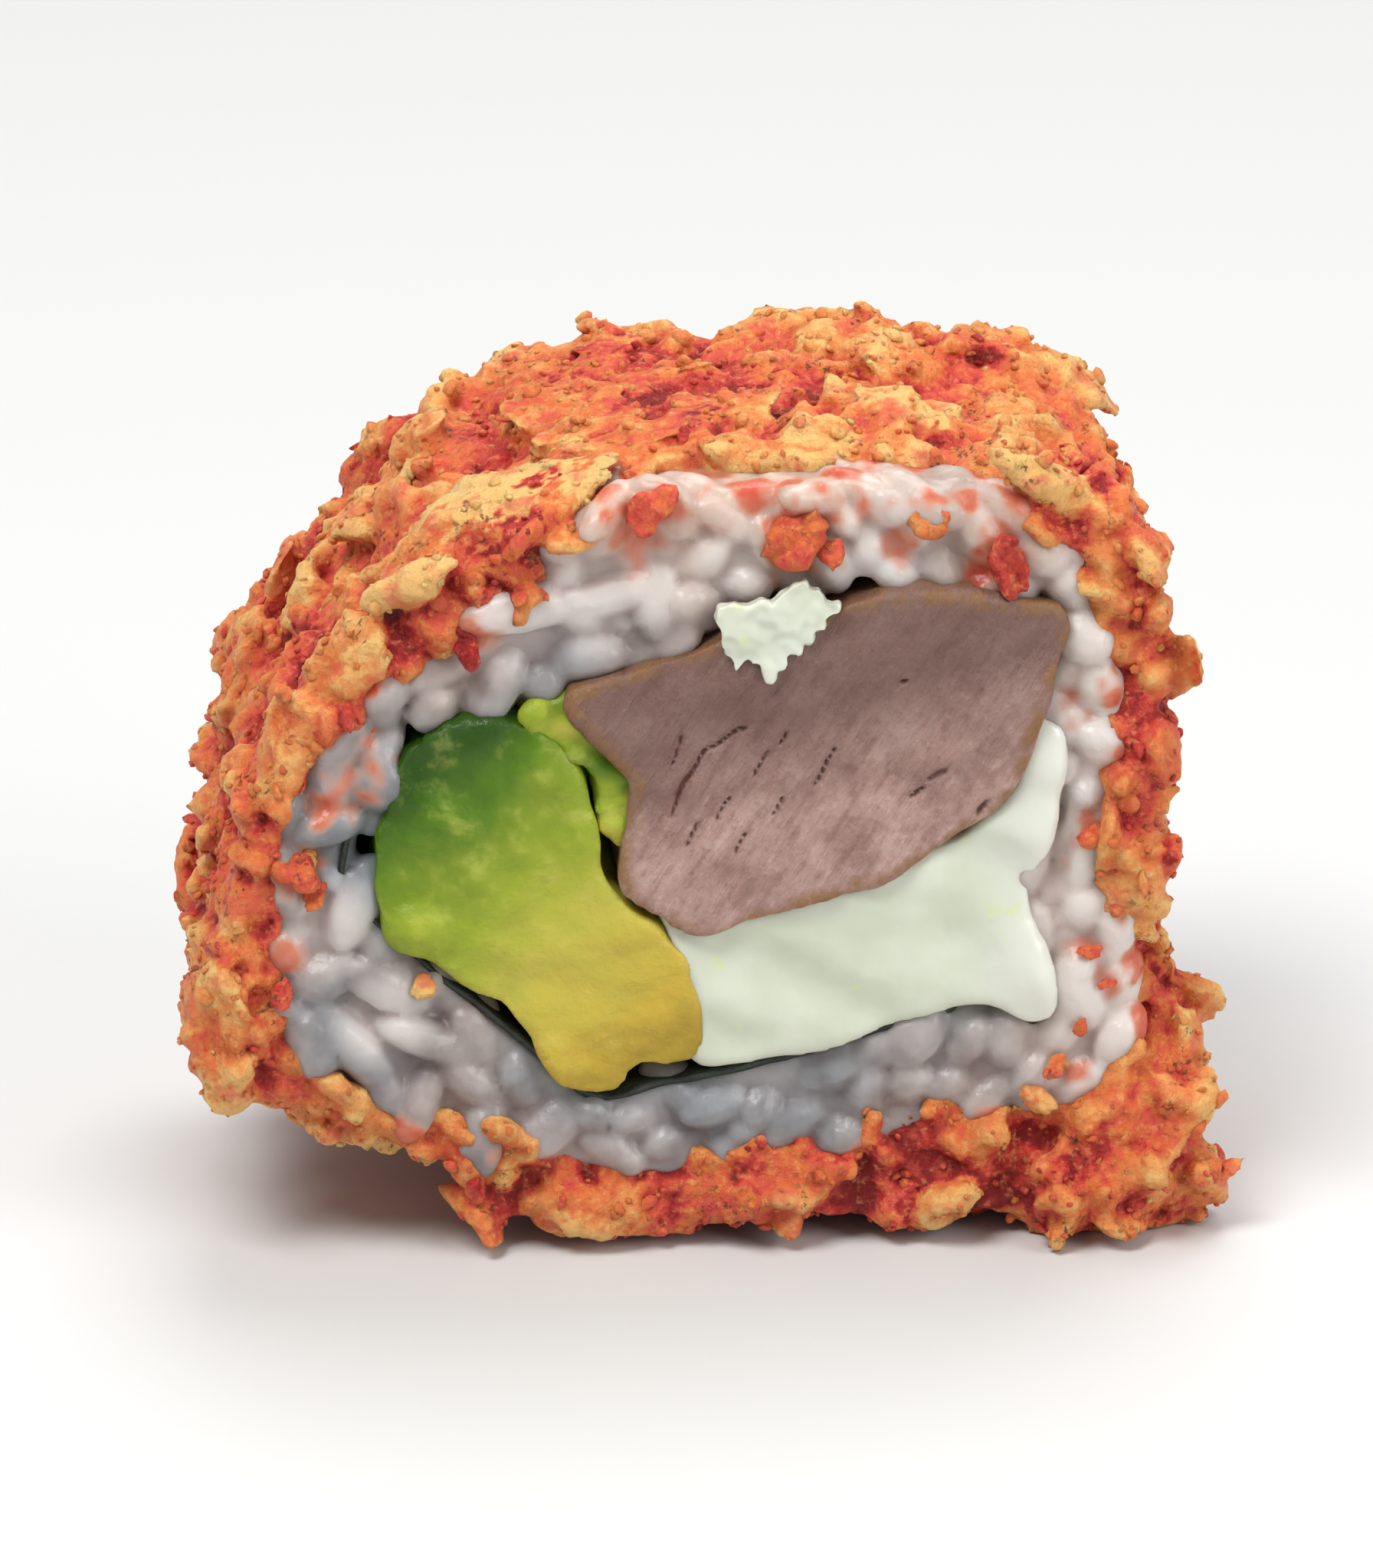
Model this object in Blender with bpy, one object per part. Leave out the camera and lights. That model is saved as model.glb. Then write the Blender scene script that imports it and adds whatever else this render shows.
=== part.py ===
"""One cut piece of an uramaki roll: coating, rice, nori and four fillings, as separate solids.

Metres, +Z up. The roll's axis runs along Y, and the cut face that shows best looks towards -Y.
The piece rests on z = 0, with the origin under the middle of its bounding box.
"""
import math
import random

import bmesh
import bpy
import numpy as np
from mathutils import Matrix, Vector, noise

# Driving dimensions
WIDTH = 0.0490
DEPTH = 0.0262
HEIGHT = 0.0394
FACE_FRONT = -0.0108
FACE_BACK = 0.0120
GAP = 0.0005
MM = 0.001
SHORTEST_EDGE = 0.000003

# The roll's axis, and how far the fillings turn about it from the front face to the back one
AXIS_X = 0.0015
AXIS_Z = 0.0190
TWIST = math.radians(-13)

# Outlines at the front face: each corner is x, z and its radius, in millimetres
COATING_OUTER = (
    (-25.0, 8.2, 4.5), (-12.6, 3.2, 3.0), (-10.6, -0.3, 2.5), (17.5, -0.3, 7.0), (21.4, 5.5, 5.0),
    (20.9, 12.0, 20.0), (22.0, 24.0, 20.0), (21.2, 36.4, 6.5), (10.0, 39.0, 20.0), (-3.0, 37.3, 20.0),
    (-12.4, 36.4, 8.0), (-20.4, 27.4, 12.0), (-24.4, 19.4, 10.0),
)
RICE_OUTER = (
    (-20.2, 9.6, 4.5), (-10.0, 5.0, 12.0), (-2.0, 3.6, 12.0), (5.0, 3.8, 6.0), (12.0, 6.6, 6.0),
    (19.9, 5.5, 4.3), (19.7, 16.0, 15.0), (18.9, 25.0, 15.0), (17.8, 35.4, 6.0), (8.0, 37.0, 20.0),
    (-5.6, 36.6, 8.0), (-20.2, 23.2, 5.0),
)
NORI_MIDDLE = (
    (-17.4, 17.6, 2.5), (-5.6, 6.6, 1.8), (4.6, 8.9, 10.0), (11.6, 10.8, 4.0), (17.2, 8.9, 1.9),
    (15.6, 16.5, 6.0), (16.9, 24.0, 6.0), (17.3, 31.6, 3.0), (2.0, 32.6, 4.0), (-3.6, 28.2, 4.0),
    (-15.4, 27.0, 3.6),
)
AVOCADO = (
    (-13.6, 26.2, 3.5), (-6.3, 26.2, 4.5), (-4.7, 18.0, 4.0), (-0.4, 13.9, 3.0), (-0.4, 9.7, 1.2),
    (-3.3, 9.5, 0.6), (-4.1, 8.3, 0.8), (-6.4, 8.4, 1.0), (-8.0, 11.5, 5.0), (-12.0, 14.8, 3.0),
    (-14.3, 15.6, 1.5), (-15.2, 18.7, 4.0),
)
MEAT = (
    (-4.0, 18.3, 1.4), (-0.4, 15.7, 2.0), (8.6, 18.5, 10.0), (13.5, 21.5, 4.0), (16.5, 30.6, 0.9),
    (8.8, 31.6, 8.0), (-0.8, 28.9, 6.0), (-4.4, 27.2, 0.6), (-3.0, 22.6, 2.0),
)
CREAM_CHEESE = (
    (-1.0, 15.3, 0.1), (0.0, 15.0, 1.5), (8.8, 17.9, 10.0), (14.1, 21.0, 4.0), (15.5, 25.4, 0.3),
    (16.1, 23.8, 1.0), (14.8, 17.0, 5.0), (15.9, 10.3, 0.5), (12.6, 12.2, 3.0), (5.0, 9.9, 10.0),
    (0.4, 9.1, 1.0), (0.3, 12.6, 2.0),
)
AVOCADO_SLIVER = (
    (-7.0, 27.0, 0.4), (-5.0, 27.2, 0.4), (-3.6, 22.6, 0.5), (-4.2, 20.6, 0.3), (-4.9, 23.4, 2.4),
)

# Counts round a ring, and layers from face to face
COATING_RING = 88
RING = 64
COATING_LAYERS = 10
RICE_LAYERS = 2
NORI_LAYERS = 2
FILLING_LAYERS = 2
FILLING_STEP = 0.0016

# Coating: flakes cover its skin, each a patch of its own height and slope
FLAKE_COUNT = 400
FLAKE_SPACING = 0.0031
SPREAD_TRIES = 80
FLAKE_SIZES = (0.7, 1.5)
FLAKE_HEIGHTS = (-0.0007, 0.0008)
FLAKE_SLOPE = 0.30
CRAG_HEIGHT = 0.0006
CRAG_SIZE = 0.0021
THINNEST = 0.0009
NORMAL_STEP = 0.03

# Its rims: rounded off by RIM_ROUND over the last stretch, ragged, and raised at the front foot
RIM_ROUND = 0.0006
RIM_SHARPNESS = 5
RIM_RAGGED = 0.0010
RIM_WAVES = 5
FOOT_LIFT = 0.0014
FOOT_REACH = 0.0060
HOLLOW_REACH = 0.004
HOLLOW_SHIFT = math.radians(0.4)
CAP_REACH = 0.006
CAP_STEP = 0.0005

# Stretches where the front rim has broken away and the rice shows beyond the cut: the direction from
# the axis, half the stretch, and how far the rim lies behind the cut
BROKEN_RIMS = (
    (math.radians(83), math.radians(33), 0.0034),
    (math.radians(-19), math.radians(12), 0.0018),
)
BREAK_SLOPE = 2.5

# Whole chips that stand off the skin and the cut rims: count, radius and thickness
SKIN_CHIPS = (14, 0.0026, 0.0011)
RIM_CHIPS = (6, 0.0020, 0.0011)
CHIP_SIDES = 6
CHIP_SPACING = 3.0
CHIP_TILT = math.radians(16)
CHIP_RISE = 0.5
CHIP_STRETCH = (0.65, 1.0)
CHIP_REACH = (0.75, 1.15)
CHIP_SKEW = 0.25
CHIP_CURL = (-0.2, 0.35)

# The largest chips: direction from the axis, depth, radius, and how far each faces the front cut
LARGE_CHIPS = (
    (math.radians(121), -0.0088, 0.0046, 0.7),
    (math.radians(87), -0.0012, 0.0036, 0.5),
    (math.radians(63), 0.0030, 0.0030, 0.3),
    (math.radians(52), -0.0096, 0.0030, 0.6),
    (math.radians(158), -0.0080, 0.0028, 0.5),
)

# Clump of coating that juts out at the foot of the right side: x, y, z and radius of its lumps
CLUMP = (
    (0.0196, -0.0102, 0.0034, 0.0036),
    (0.0224, -0.0090, 0.0028, 0.0030),
    (0.0215, -0.0088, 0.0070, 0.0030),
    (0.0174, -0.0108, 0.0022, 0.0028),
    (0.0200, -0.0050, 0.0040, 0.0036),
    (0.0222, -0.0072, 0.0098, 0.0018),
)
CLUMP_RELIEF = 0.0016

# Rice: cooked short grains on a core that stops short of the two faces
CORE_RECESS = 0.0013
GRAIN_PROUD = (0.0000, 0.0007)
GRAIN_SWAY = 0.6
GRAIN_LYING = 0.75
GRAIN_SLOPE = 0.35
GRAIN_STEEP = 1.5
GRAIN_BLUNT = 0.4
GRAIN_LENGTH = 0.0058
GRAIN_WIDTH = 0.0025
GRAIN_SPACING = 0.00236
GRAIN_TRIES = 9000
GRAIN_SHRINKS = (1.0, 0.8, 0.64, 0.5)
GRAIN_SIDES = 5
GRAIN_RING_PLACES = (0.15, 0.5, 0.85)

NORI_THICK = 0.00035


def clear_scene():
    """Remove whatever the scene starts with."""
    for thing in list(bpy.data.objects):
        bpy.data.objects.remove(thing, do_unlink=True)


def material(name, colour, roughness):
    """A plain food surface of one colour."""
    made = bpy.data.materials.new(name)
    made.use_nodes = True
    shader = made.node_tree.nodes["Principled BSDF"]
    shader.inputs["Base Color"].default_value = (*colour, 1.0)
    shader.inputs["Roughness"].default_value = roughness
    shader.inputs["Metallic"].default_value = 0.0
    return made


def mesh_object(name, vertices, faces, finish=None):
    """An object from points and faces, split into triangles and with its faces turned outwards."""
    mesh = bpy.data.meshes.new(name)
    mesh.from_pydata([tuple(v) for v in vertices], [], faces)
    shape = bmesh.new()
    shape.from_mesh(mesh)
    bmesh.ops.triangulate(shape, faces=shape.faces)
    bmesh.ops.recalc_face_normals(shape, faces=shape.faces)
    shape.to_mesh(mesh)
    shape.free()
    made = bpy.data.objects.new(name, mesh)
    bpy.context.scene.collection.objects.link(made)
    if finish is not None:
        mesh.materials.append(finish)
    return made


def rounded(corners):
    """The closed line round a polygon of (x, z, radius) corners, each corner an arc."""
    line = []
    count = len(corners)
    for index, (x, z, radius) in enumerate(corners):
        here = Vector((x, z)) * MM
        before = Vector(corners[index - 1][:2]) * MM
        after = Vector(corners[(index + 1) % count][:2]) * MM
        towards_before = (before - here).normalized()
        towards_after = (after - here).normalized()
        half = towards_before.angle(towards_after) / 2
        reach = radius * MM / math.tan(half)
        longest = 0.49 * min((before - here).length, (after - here).length)
        reach = min(reach, longest)
        arc_radius = reach * math.tan(half)
        middle = (towards_before + towards_after).normalized()
        centre = here + middle * (arc_radius / math.sin(half))
        start = here + towards_before * reach - centre
        end = here + towards_after * reach - centre
        sweep = start.angle_signed(end)
        steps = max(2, math.ceil(abs(sweep) / math.radians(9)))
        for step in range(steps + 1):
            line.append(centre + Matrix.Rotation(-sweep * step / steps, 2) @ start)
    return np.array([tuple(point) for point in line])


def even(line, step):
    """The same closed line with points evenly spaced along it, about `step` apart."""
    closed = np.vstack([line, line[:1]])
    lengths = np.linalg.norm(np.diff(closed, axis=0), axis=1)
    along = np.concatenate([[0.0], np.cumsum(lengths)])
    count = max(8, round(along[-1] / step))
    places = np.arange(count) * along[-1] / count
    return np.stack([np.interp(places, along, closed[:, axis]) for axis in (0, 1)], axis=1)


def ring_radii(corners, offset=0.0, count=RING):
    """Distances from the axis to an outline at even angles, moved outwards by `offset`."""
    line = even(rounded(corners), 0.0004)
    tangent = np.roll(line, -1, axis=0) - np.roll(line, 1, axis=0)
    normal = np.stack([tangent[:, 1], -tangent[:, 0]], axis=1)
    normal /= np.linalg.norm(normal, axis=1)[:, None]
    centre = np.array([AXIS_X, AXIS_Z])
    if np.sum((line - centre) * normal) < 0:
        normal = -normal
    moved = line + normal * offset - centre
    angles = np.arctan2(moved[:, 1], moved[:, 0])
    order = np.argsort(angles)
    angles = angles[order]
    radii = np.linalg.norm(moved, axis=1)[order]
    wanted = -math.pi + 2 * math.pi * np.arange(count) / count
    return np.interp(wanted, angles, radii, period=2 * math.pi)


OUTER = ring_radii(COATING_OUTER, count=COATING_RING)
RICE_EDGE = ring_radii(RICE_OUTER)
CAVITY_EDGE = ring_radii(RICE_OUTER, GAP)
NORI_OUTSIDE = ring_radii(NORI_MIDDLE, NORI_THICK / 2)
NORI_INSIDE = ring_radii(NORI_MIDDLE, -NORI_THICK / 2)
RICE_HOLE = ring_radii(NORI_MIDDLE, NORI_THICK / 2 + GAP)


def radius_at(radii, angle):
    """A ring's radius at any angle, between its even steps."""
    count = len(radii)
    place = (angle + math.pi) / (2 * math.pi) * count
    low = math.floor(place)
    share = place - low
    return radii[low % count] * (1 - share) + radii[(low + 1) % count] * share


def turned(x, y, z):
    """Where a point of the straight roll lies once the fillings have turned along its length."""
    across = Vector((x - AXIS_X, z - AXIS_Z))
    if across.length < 1e-6:
        return Vector((x, y, z))
    angle = math.atan2(across.y, across.x)
    inward = 1 - min(1.0, across.length / radius_at(OUTER, angle)) ** 2
    along = (y - FACE_FRONT) / (FACE_BACK - FACE_FRONT)
    turn = TWIST * along * inward
    return Vector((
        AXIS_X + across.x * math.cos(turn) - across.y * math.sin(turn),
        y,
        AXIS_Z + across.x * math.sin(turn) + across.y * math.cos(turn),
    ))


def ring(radii, y, wave=None, shift=0.0):
    """One ring of points at depth `y`, turned with the fillings, and moved by `wave` along Y.

    A shift starts the ring a little further round, so that it shares no direction with another.
    """
    points = []
    for index in range(len(radii)):
        angle = -math.pi + 2 * math.pi * index / len(radii) + shift
        radius = radius_at(radii, angle)
        depth = y
        if wave is not None:
            depth += wave(angle)
        x = AXIS_X + radius * math.cos(angle)
        z = AXIS_Z + radius * math.sin(angle)
        points.append(turned(x, depth, z))
    return points


def loft(name, rings, finish=None, loop=False):
    """A closed skin over rings of equal count: a tube wall if `loop`, otherwise a capped body."""
    count = len(rings[0])
    vertices = [point for points in rings for point in points]
    faces = []
    pairs = len(rings) if loop else len(rings) - 1
    for row in range(pairs):
        here = row * count
        there = (row + 1) % len(rings) * count
        for index in range(count):
            after = (index + 1) % count
            faces.append((here + index, here + after, there + after, there + index))
    if not loop:
        faces.append(tuple(range(count)))
        faces.append(tuple(range(len(vertices) - count, len(vertices))))
    return mesh_object(name, vertices, faces, finish)


def depths(layers, front, back):
    """Evenly spaced depths from front to back, both included."""
    return [front + (back - front) * layer / layers for layer in range(layers + 1)]


def combine(body, others, operation="UNION", solver="EXACT"):
    """Join other solids to a body, or cut them from it, by one Boolean on a collection."""
    group = bpy.data.collections.new(body.name + "_parts")
    bpy.context.scene.collection.children.link(group)
    for other in others:
        bpy.context.scene.collection.objects.unlink(other)
        group.objects.link(other)
    cut = body.modifiers.new("combine", "BOOLEAN")
    cut.operand_type = "COLLECTION"
    cut.collection = group
    cut.operation = operation
    cut.solver = solver
    bpy.context.view_layer.update()
    joined = body.evaluated_get(bpy.context.evaluated_depsgraph_get())
    mesh = bpy.data.meshes.new_from_object(joined)
    body.modifiers.clear()
    body.data = mesh
    for other in list(group.objects):
        bpy.data.objects.remove(other, do_unlink=True)
    bpy.data.collections.remove(group)
    return body


def box(low, high):
    """A plain box between two corners."""
    corners = [(x, y, z) for x in (low[0], high[0]) for y in (low[1], high[1]) for z in (low[2], high[2])]
    faces = [(0, 1, 3, 2), (4, 6, 7, 5), (0, 4, 5, 1), (2, 3, 7, 6), (0, 2, 6, 4), (1, 5, 7, 3)]
    return mesh_object("box", corners, faces)


def clean(body):
    """Close up the tiniest edges that joining or cutting has left, and drop every loose scrap."""
    shape = bmesh.new()
    shape.from_mesh(body.data)
    bmesh.ops.triangulate(shape, faces=shape.faces)
    tiny = [edge for edge in shape.edges if edge.calc_length() < SHORTEST_EDGE]
    bmesh.ops.collapse(shape, edges=tiny)
    waiting = set(shape.verts)
    groups = []
    while waiting:
        group = {waiting.pop()}
        front = list(group)
        while front:
            vertex = front.pop()
            for edge in vertex.link_edges:
                other = edge.other_vert(vertex)
                if other in waiting:
                    waiting.discard(other)
                    group.add(other)
                    front.append(other)
        groups.append(group)
    largest = max(groups, key=len)
    scraps = [vertex for vertex in shape.verts if vertex not in largest]
    bmesh.ops.delete(shape, geom=scraps, context="VERTS")
    bmesh.ops.triangulate(shape, faces=shape.faces)
    shape.to_mesh(body.data)
    shape.free()


def front_rim(angle):
    """The depth of the coating's front rim: at the cut, or behind it where the rim has broken away."""
    depth = FACE_FRONT
    for middle, half, setback in BROKEN_RIMS:
        away = abs((angle - middle + math.pi) % (2 * math.pi) - math.pi) / half
        share = min(1.0, max(0.0, BREAK_SLOPE * (1 - away)))
        depth += setback * share * share * (3 - 2 * share)
    return depth


def coating_base(angle, y):
    """A point on the coating's smooth skin, whose edges are rounded off towards the two rims."""
    front = front_rim(angle)
    share = (2 * y - front - FACE_BACK) / (FACE_BACK - front)
    radius = radius_at(OUTER, angle) - RIM_ROUND * abs(share) ** RIM_SHARPNESS
    near = max(0.0, 1 - (y - FACE_FRONT) / FOOT_REACH)
    z = max(AXIS_Z + radius * math.sin(angle), FOOT_LIFT * near * near)
    return Vector((AXIS_X + radius * math.cos(angle), y, z))


def coating_normal(angle, y):
    """The outward direction of the coating's smooth skin."""
    across = coating_base(angle + NORMAL_STEP, y) - coating_base(angle - NORMAL_STEP, y)
    return across.cross(Vector((0, -1, 0))).normalized()


def spread(draw, count, spacing):
    """Places (angle, y) evenly spread over the skin, at least `spacing` apart."""
    places = []
    points = []
    for _ in range(count * SPREAD_TRIES):
        angle = draw.uniform(-math.pi, math.pi)
        y = draw.uniform(front_rim(angle), FACE_BACK)
        point = coating_base(angle, y)
        if all((point - other).length > spacing for other in points):
            places.append((angle, y))
            points.append(point)
        if len(places) == count:
            break
    return places


def make_flakes(draw):
    """The flakes of the skin: where each lies, its size, height and slope."""
    flakes = []
    for angle, y in spread(draw, FLAKE_COUNT, FLAKE_SPACING):
        slope = Vector([draw.uniform(-FLAKE_SLOPE, FLAKE_SLOPE) for _ in range(3)])
        flakes.append((coating_base(angle, y), draw.uniform(*FLAKE_SIZES), draw.uniform(*FLAKE_HEIGHTS), slope))
    return flakes


def relief(flakes, point):
    """How far the coating stands above its smooth skin at a point, from its flake and crags."""
    place, _, height, slope = min(flakes, key=lambda flake: (flake[0] - point).length / flake[1])
    crags = noise.noise(point / CRAG_SIZE) * CRAG_HEIGHT
    return height + slope.dot(point - place) + crags


def chip(draw, radius, thick, place, outwards):
    """One flat crisp chip with an uneven edge and a slight curl, standing off the skin."""
    side = outwards.orthogonal().normalized()
    lengthwise = outwards.cross(side)
    frame = Matrix((side, lengthwise, outwards)).transposed()
    lean = Matrix.Rotation(draw.uniform(-CHIP_TILT, CHIP_TILT), 3, side)
    lean = Matrix.Rotation(draw.uniform(-CHIP_TILT, CHIP_TILT), 3, lengthwise) @ lean
    spin = draw.uniform(0, 2 * math.pi)
    stretch = draw.uniform(*CHIP_STRETCH)
    curl = draw.uniform(*CHIP_CURL) * radius
    vertices = []
    for level in (-0.5, 0.5):
        for corner in range(CHIP_SIDES):
            angle = 2 * math.pi * (corner + draw.uniform(-CHIP_SKEW, CHIP_SKEW)) / CHIP_SIDES
            reach = radius * draw.uniform(*CHIP_REACH)
            flat = Vector((reach * math.cos(angle), reach * stretch * math.sin(angle)))
            flat = Matrix.Rotation(spin, 2) @ flat
            vertices.append(Vector((flat.x, flat.y, level * thick + curl * draw.uniform(0.2, 1.0))))
        vertices.append(Vector((0, 0, level * thick)))
    faces = []
    for corner in range(CHIP_SIDES):
        after = (corner + 1) % CHIP_SIDES
        high = CHIP_SIDES + 1 + corner
        high_after = CHIP_SIDES + 1 + after
        faces.append((corner, after, CHIP_SIDES))
        faces.append((high, high_after, 2 * CHIP_SIDES + 1))
        faces.append((corner, high, high_after))
        faces.append((corner, high_after, after))
    placed = [place + lean @ frame @ vertex for vertex in vertices]
    return mesh_object("chip", placed, faces)


def skin_chips(draw):
    """Chips evenly spread over the coating's skin."""
    count, radius, thick = SKIN_CHIPS
    made = []
    for angle, y in spread(draw, count, CHIP_SPACING * radius):
        outwards = coating_normal(angle, y)
        place = coating_base(angle, y) + outwards * CHIP_RISE * thick
        made.append(chip(draw, radius, thick, place, outwards))
    return made


def large_chips(draw):
    """The few large chips by the front cut, tipped towards it."""
    made = []
    for angle, y, radius, lean in LARGE_CHIPS:
        outwards = (coating_normal(angle, y) + Vector((0, -lean, 0))).normalized()
        thick = SKIN_CHIPS[2]
        place = coating_base(angle, y) + coating_normal(angle, y) * CHIP_RISE * thick
        made.append(chip(draw, radius, thick, place, outwards))
    return made


def rim_chips(draw):
    """Chips on the two cut rims of the coating, which leave them ragged."""
    count, radius, thick = RIM_CHIPS
    made = []
    for way in (-1, 1):
        for index in range(count):
            angle = 2 * math.pi * (index + draw.uniform(0, 0.7)) / count
            y = front_rim(angle) if way < 0 else FACE_BACK
            reach = (radius_at(OUTER, angle) + radius_at(CAVITY_EDGE, angle)) / 2
            place = Vector((AXIS_X + reach * math.cos(angle), y, AXIS_Z + reach * math.sin(angle)))
            made.append(chip(draw, radius, thick, place, Vector((0, way, 0))))
    return made


def lump(index, x, y, z, radius):
    """One uneven lump of the clump."""
    shape = bmesh.new()
    bmesh.ops.create_icosphere(shape, subdivisions=2, radius=radius)
    for vertex in shape.verts:
        push = noise.noise(vertex.co / CRAG_SIZE + Vector((11 * index, 0, 0)))
        vertex.co += vertex.co.normalized() * push * CLUMP_RELIEF
        vertex.co += Vector((x, y, z))
    mesh = bpy.data.meshes.new("lump")
    shape.to_mesh(mesh)
    shape.free()
    made = bpy.data.objects.new("lump", mesh)
    bpy.context.scene.collection.objects.link(made)
    return made


def build_coating():
    """The crisp red coating: an uneven ring round the rice, with chips and a clump fused on."""
    draw = random.Random(8)
    flakes = make_flakes(draw)
    angles = [-math.pi + 2 * math.pi * index / COATING_RING for index in range(COATING_RING)]
    cavity = np.array([radius_at(CAVITY_EDGE, angle) for angle in angles])
    face_middle = (OUTER + cavity) / 2

    def ragged(angle):
        place = Vector((RIM_WAVES * math.cos(angle), RIM_WAVES * math.sin(angle), 2))
        return RIM_RAGGED * noise.noise(place)

    def broken(angle):
        return front_rim(angle) - FACE_FRONT

    def broken_ragged(angle):
        return broken(angle) + ragged(angle)

    rings = [ring(cavity - CAP_REACH, FACE_FRONT)]
    rings.append(ring(cavity - CAP_STEP, FACE_FRONT, broken))
    rings.append(ring(face_middle, FACE_FRONT, broken_ragged))
    for layer in range(COATING_LAYERS + 1):
        skin = []
        for angle, hollow_radius in zip(angles, cavity):
            front = front_rim(angle)
            point = coating_base(angle, front + (FACE_BACK - front) * layer / COATING_LAYERS)
            wall = math.hypot(point.x - AXIS_X, point.z - AXIS_Z) - hollow_radius
            rise = max(relief(flakes, point), THINNEST - wall)
            skin.append(point + coating_normal(angle, point.y) * rise)
        rings.append(skin)
    rings.append(ring(face_middle, FACE_BACK, ragged))
    rings.append(ring(cavity - CAP_REACH, FACE_BACK))
    coating = loft("coating", rings, material("coating_crisp", (0.62, 0.13, 0.06), 0.6))
    lumps = [lump(index, *sizes) for index, sizes in enumerate(CLUMP)]
    chips = skin_chips(draw) + large_chips(draw) + rim_chips(draw)
    combine(coating, chips + lumps, solver="MANIFOLD")
    rows = depths(1, FACE_FRONT - HOLLOW_REACH, FACE_BACK + HOLLOW_REACH)
    hollow = loft("hollow", [ring(CAVITY_EDGE, y, shift=HOLLOW_SHIFT) for y in rows])
    combine(coating, [hollow], "DIFFERENCE", "MANIFOLD")
    limits = box((-WIDTH / 2, -DEPTH / 2, 0), (WIDTH / 2, DEPTH / 2, HEIGHT))
    combine(coating, [limits], "INTERSECT", "MANIFOLD")
    clean(coating)


def grain(draw, x, y, z, length, width):
    """The points of one low-sided rice grain, lying mostly along the face and round the roll."""
    steepest = GRAIN_SLOPE if draw.random() < GRAIN_LYING else GRAIN_STEEP
    slope = draw.uniform(-steepest, steepest)
    aim = math.atan2(z - AXIS_Z, x - AXIS_X) + math.pi / 2 + draw.uniform(-GRAIN_SWAY, GRAIN_SWAY)
    axis = Vector((math.cos(aim) * math.cos(slope), math.sin(slope), math.sin(aim) * math.cos(slope)))
    side = axis.cross(Vector((0.3, 1, 0.2))).normalized()
    other = axis.cross(side)
    middle = Vector((x, y, z))
    points = [middle - axis * length / 2]
    for level, share in enumerate(GRAIN_RING_PLACES):
        along = length * (share - 0.5)
        girth = width / 2 * math.sin(math.pi * share) ** GRAIN_BLUNT
        for corner in range(GRAIN_SIDES):
            angle = 2 * math.pi * (corner + 0.5 * level) / GRAIN_SIDES
            points.append(middle + axis * along + girth * (side * math.cos(angle) + other * math.sin(angle)))
    points.append(middle + axis * length / 2)
    return points


def grain_faces():
    """The faces of a grain: a fan at each tip, and bands of triangles between its rings."""
    faces = []
    levels = len(GRAIN_RING_PLACES)
    last = GRAIN_SIDES * levels + 1
    for corner in range(GRAIN_SIDES):
        after = (corner + 1) % GRAIN_SIDES
        faces.append((0, 1 + after, 1 + corner))
        top = 1 + GRAIN_SIDES * (levels - 1)
        faces.append((last, top + corner, top + after))
        for level in range(levels - 1):
            low = 1 + GRAIN_SIDES * level
            high = low + GRAIN_SIDES
            faces.append((low + corner, low + after, high + corner))
            faces.append((low + after, high + after, high + corner))
    return faces


def in_band(point):
    """Whether a point lies in the rice, between the nori's gap and the coating's."""
    across = Vector((point.x - AXIS_X, point.z - AXIS_Z))
    angle = math.atan2(across.y, across.x)
    return radius_at(RICE_HOLE, angle) < across.length < radius_at(RICE_EDGE, angle)


def face_grains(draw, y, outwards):
    """Grains over the rice of the cut face at `y`, which looks along Y as `outwards` says.

    A grain is shortened where it would leave the rice, and stands only a little proud of the cut.
    """
    made = []
    taken = []
    for _ in range(GRAIN_TRIES):
        angle = draw.uniform(-math.pi, math.pi)
        inner = radius_at(RICE_HOLE, angle)
        outer = radius_at(RICE_EDGE, angle)
        radius = draw.uniform(inner, outer)
        x = AXIS_X + radius * math.cos(angle)
        z = AXIS_Z + radius * math.sin(angle)
        if any(math.hypot(x - a, z - b) < GRAIN_SPACING for a, b in taken):
            continue
        state = draw.getstate()
        for shrink in GRAIN_SHRINKS:
            draw.setstate(state)
            length = GRAIN_LENGTH * draw.uniform(0.85, 1.1) * shrink
            width = GRAIN_WIDTH * draw.uniform(0.85, 1.05) * max(shrink, 0.7)
            points = grain(draw, x, 0.0, z, length, width)
            if all(in_band(point) for point in points):
                taken.append((x, z))
                tip = max(point.y * outwards for point in points)
                shift = y + outwards * (draw.uniform(*GRAIN_PROUD) - tip)
                placed = [turned(point.x, point.y + shift, point.z) for point in points]
                made.append(mesh_object("grain", placed, grain_faces()))
                break
    return made


def build_rice():
    """The rice: a ring between nori and coating, with the grains that show at each cut fused on."""
    front = FACE_FRONT + CORE_RECESS
    back = FACE_BACK - CORE_RECESS
    rows = depths(RICE_LAYERS, front, back)
    rings = [ring(RICE_EDGE, y) for y in rows] + [ring(RICE_HOLE, y) for y in reversed(rows)]
    rice = loft("rice", rings, material("rice_cooked", (0.72, 0.68, 0.62), 0.4), loop=True)
    draw = random.Random(21)
    combine(rice, face_grains(draw, FACE_FRONT, -1) + face_grains(draw, FACE_BACK, 1))
    clean(rice)


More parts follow.
